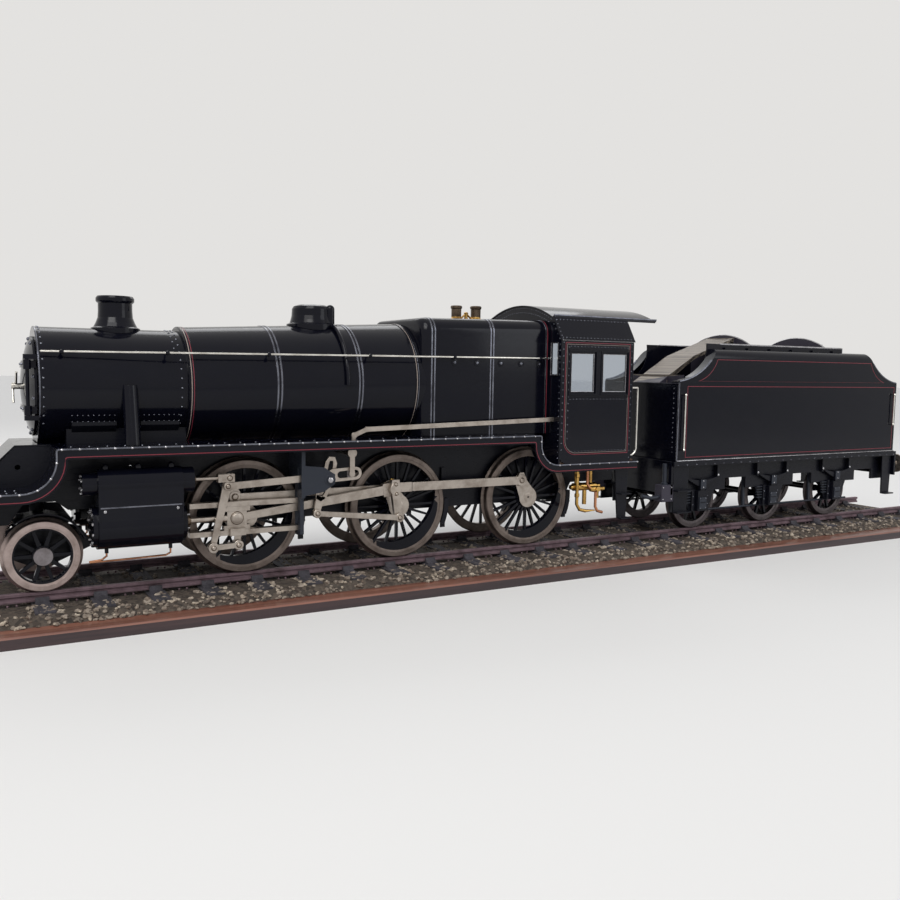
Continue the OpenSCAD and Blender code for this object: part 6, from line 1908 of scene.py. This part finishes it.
    def axlebox(self, gear: Piece, x: float, side: float) -> None:
        """Build the bolts, cover, louvres and strap of one axlebox.

        Args:
            gear: The piece that they join.
            x: Place of the axle.
            side: Side of the tender.
        """
        y = side * self.box_y
        out = (0, side, 0)
        gear.box((x - 5.6, x + 5.6), across(side, self.box_y - 0.2, self.box_y + 1.0), (25.6, 40.0), BLUED)
        gear.line([(x - 4.0, y + side, 34.0), (x + 4.0, y + side, 34.0)], out, 1.0, FRAME, lift=0.4)
        rivets = ((4.4, (27.0, 38.6), 0.9, 0.8), (12.0, (31.0, 41.0), -4.0, 0.9))
        for reach, heights, proud, radius in rivets:
            for step in (-reach, reach):
                for z in heights:
                    gear.dome((x + step, y + side * proud, z), out, radius, RIVET_HIGHLIGHT)
        for k in range(5):
            z = 33.0 + 3.4 * k
            gear.box((x - 25.0, x - 15.6), across(side, 60.2, 62.6), (z, z + 1.1), BLUED)
        bolt = ((-3.0, 1.6), (0.8, 1.6), (1.2, 0.9))
        for step in (-27.0, 27.0):
            gear.lathe((x + step, side * 64.6, 66.0), out, bolt, SCREW, 10)
        gear.box((x - 4.4, x + 4.4), across(side, self.box_y - 0.1, self.box_y + 0.9), (50.4, 61.6), BLUED)
        for z in (52.0, 60.0):
            gear.dome((x, y + side * 0.8, z), out, 0.9, SCREW)

    def running_gear(self) -> None:
        """Build the axleboxes' trim, and the brake rod with its arms."""
        gear = Piece("tender_axlebox_trim")
        for x in self.axles:
            for side in NEAR_AND_FAR:
                self.axlebox(gear, x, side)
        z = self.brake_z
        for side in NEAR_AND_FAR:
            y = side * self.brake_y
            gear.tube([(540.0, y, z), (846.0, y, z)], 1.3, BLUED, 8)
            faces = across(side, self.brake_y - 1.2, self.brake_y + 1.2)
            for x in self.axles:
                arm = [(x - 40.0, z), (x - 36.6, z), (x - 38.6, z + 38.0), (x - 42.0, z + 38.0)]
                gear.plate(arm, faces, BLUED)
        gear.build()

    def water_valve(self) -> None:
        """Build the box, stem and pipe of the water valve on both sides."""
        box = Piece("front_water_valve")
        x0, x1 = self.valve_x
        z0, z1 = self.valve_z
        stem = ((0.0, 4.0), (2.0, 4.0), (2.6, 2.6), (25.0, 2.6))
        for side in NEAR_AND_FAR:
            box.box(self.valve_x, across(side, 56.0, 68.0), self.valve_z, GREY)
            box.lathe(((x0 + x1) / 2.0, side * 62.0, z1), (0, 0, 1), stem, BLUED, 16)
            y = side * 63.0
            pipe = [(x0, y, z0 + 6.0), (x0 - 12.0, y, z0 + 5.0), (x0 - 24.0, y - side * 3.0, z0 + 8.0)]
            box.tube(pipe, 2.2, BLUED, 10)
            for z in (z0 + 3.0, z1 - 3.0):
                for x in (x0 + 2.6, x1 - 2.6):
                    box.dome((x, side * 68.0, z), (0, side, 0), 0.9, SCREW)
        box.build()

    def ends(self) -> None:
        """Dress the fittings and buffers, rivet the tank's ends and fit the filler's lid."""
        LIBRARY.dress("tender_fittings", lambda p: NICKEL if abs(p.y) > 69.0 and p.z > 95.0 else FRAME)
        beam, inside = self.back + 22.0, 30.0
        LIBRARY.dress("tender_platform", lambda p: BRIGHT if p.x > beam and abs(p.y) > inside else BLACK)
        plate = Piece("tender_end_rivets")
        rear = self.back + 0.2
        for side in NEAR_AND_FAR:
            for x, facing in ((rear, 1), (self.front - 0.2, -1)):
                column = [(x, side * 60.0, 96.0), (x, side * 60.0, 172.0)]
                plate.rivets(column, (facing, 0, 0), 6.0, 0.8)
        plate.rivets([(rear, -56.0, 94.0), (rear, 56.0, 94.0)], (1, 0, 0), 7.0, 0.8)
        x, z = self.back - self.lid_x, self.end + 10.0
        lid = ((-2.0, 15.4), (0.6, 15.4), (1.4, 13.8), (2.4, 4.0), (2.6, 1.0))
        plate.lathe((x, 0.0, z), (0, 0, 1), lid, BLACK, 32)
        plate.box((x - 19.0, x + 19.0), (-1.6, 1.6), (z + 1.6, z + 3.4), BLACK)
        for post in (x - 18.0, x + 18.0):
            plate.tube([(post, 0, z - 12.0), (post, 0, z + 4.4)], 1.5, SCREW, 8)
        plate.build()

    def build(self) -> None:
        """Build the tender's pieces."""
        trim = Piece("tender_side_trim")
        for side in NEAR_AND_FAR:
            self.lining(trim, side)
            self.beading(trim, side)
        trim.build()
        self.top()
        self.running_gear()
        self.water_valve()
        self.ends()


@dataclass
class Studio:
    """Camera, floor, sky and lamps."""

    eye: Point = (-0.5943, -0.8557, 0.21995)
    yaw: float = 29.45
    pitch: float = 5.24
    roll: float = 0.915
    focal_px: float = 894.53
    picture_px: float = 900.0

    def camera(self) -> None:
        """Set the camera where the photograph was taken from."""
        data = bpy.data.cameras.new("camera")
        data.sensor_width = 36.0
        data.lens = self.focal_px / self.picture_px * data.sensor_width
        data.clip_start = 0.01
        camera = bpy.data.objects.new("camera", data)
        bpy.context.scene.collection.objects.link(camera)
        turn = (
            Matrix.Rotation(math.radians(-self.yaw), 4, "Z")
            @ Matrix.Rotation(math.radians(90.0 - self.pitch), 4, "X")
            @ Matrix.Rotation(math.radians(self.roll), 4, "Z")
        )
        camera.matrix_world = Matrix.Translation(self.eye) @ turn
        bpy.context.scene.camera = camera

    def lamp(self, name: str, place: Point, size: tuple[float, float], power: float, colour: Colour) -> None:
        """Hang one soft box that shines at the model's middle.

        Args:
            name: Name of the lamp.
            place: Where it hangs, in metres.
            size: Width and height in metres.
            power: Power in watts.
            colour: Colour of its light.
        """
        data = bpy.data.lights.new(name, "AREA")
        data.shape = "RECTANGLE"
        data.size, data.size_y = size
        data.energy = power
        data.color = colour
        lamp = bpy.data.objects.new(name, data)
        bpy.context.scene.collection.objects.link(lamp)
        lamp.location = place
        lamp.rotation_euler = (Vector((0.0, 0.0, 0.1)) - Vector(place)).to_track_quat("-Z", "Y").to_euler()

    def sun(self) -> None:
        """Add one broad soft light from above, which gives the floor its shadow."""
        data = bpy.data.lights.new("overhead", "SUN")
        data.energy = 1.5
        data.angle = math.radians(40.0)
        sun = bpy.data.objects.new("overhead", data)
        bpy.context.scene.collection.objects.link(sun)
        sun.rotation_euler = (math.radians(28.0), math.radians(-22.0), 0.0)

    def sky(self) -> None:
        """Light the model softly, and show a pale wall behind it and in its reflections."""
        world = bpy.data.worlds.new("surround")
        world.use_nodes = True
        bpy.context.scene.world = world
        tree = world.node_tree
        light = tree.nodes["Background"]
        light.inputs["Color"].default_value = (0.93, 0.95, 1.0, 1.0)
        light.inputs["Strength"].default_value = 0.42
        wall = tree.nodes.new("ShaderNodeBackground")
        wall.inputs["Color"].default_value = (0.77, 0.76, 0.745, 1.0)
        rays = tree.nodes.new("ShaderNodeLightPath")
        seen = rays.outputs["Is Camera Ray"]
        for name in ("Is Glossy Ray", "Is Transmission Ray"):
            either = tree.nodes.new("ShaderNodeMath")
            either.operation = "MAXIMUM"
            tree.links.new(seen, either.inputs[0])
            tree.links.new(rays.outputs[name], either.inputs[1])
            seen = either.outputs[0]
        mix = tree.nodes.new("ShaderNodeMixShader")
        tree.links.new(seen, mix.inputs[0])
        tree.links.new(light.outputs[0], mix.inputs[1])
        tree.links.new(wall.outputs[0], mix.inputs[2])
        tree.links.new(mix.outputs[0], tree.nodes["World Output"].inputs["Surface"])

    def floor(self) -> None:
        """Lay a plain pale floor under the display board."""
        mesh = bpy.data.meshes.new("floor")
        reach = 14.0
        corners = [(-reach, -reach, 0), (reach, -reach, 0), (reach, reach, 0), (-reach, reach, 0)]
        mesh.from_pydata(corners, [], [(0, 1, 2, 3)])
        floor = bpy.data.objects.new("floor", mesh)
        bpy.context.scene.collection.objects.link(floor)
        shader = Shader("floor_paint", (0.80, 0.79, 0.77))
        shader.roughness(shader.spread(shader.noise((3.0, 3.0, 3.0), 3.0), 0.75, 0.85))
        shader.set(Specular_IOR_Level=0.2)
        mesh.materials.append(shader.material)

    def build(self) -> None:
        """Set up everything round the model."""
        self.camera()
        self.sky()
        self.floor()
        self.sun()
        self.lamp("key_box", (-1.3, -1.3, 1.5), (1.6, 0.7), 11.0, (1.0, 0.98, 0.95))
        self.lamp("fill_box", (1.3, -1.6, 0.9), (0.9, 1.2), 6.0, (0.93, 0.96, 1.0))
        self.lamp("back_box", (0.3, 1.5, 1.5), (2.2, 0.6), 7.0, (0.97, 0.98, 1.0))
        bpy.context.scene.view_settings.view_transform = "Standard"


def dress_plain_nodes() -> None:
    """Give each CAD node the finish of its slot, before the classes refine some of them."""
    slots = {entry["node"]: entry["material_slot"] for entry in frame["record"]["subparts"]}
    for name, node in frame["nodes"].items():
        finish = FRAME if name in SATIN_NODES else BY_SLOT[slots[name]]
        node.data.materials.clear()
        node.data.materials.append(LIBRARY.get(finish))
        for face in node.data.polygons:
            face.material_index = 0
        LOG.info("dressed %s in %s", name, finish.name)


def main() -> None:
    """Dress the model and report each piece."""
    logging.basicConfig(level=logging.INFO, format="%(name)s: %(message)s")
    Studio().build()
    dress_plain_nodes()
    for assembly in (Track(), Wheels(), Boiler(), Platework(), Cab(), Cylinders(), Motion(), Tender()):
        assembly.build()


if __name__ == "__main__":
    main()
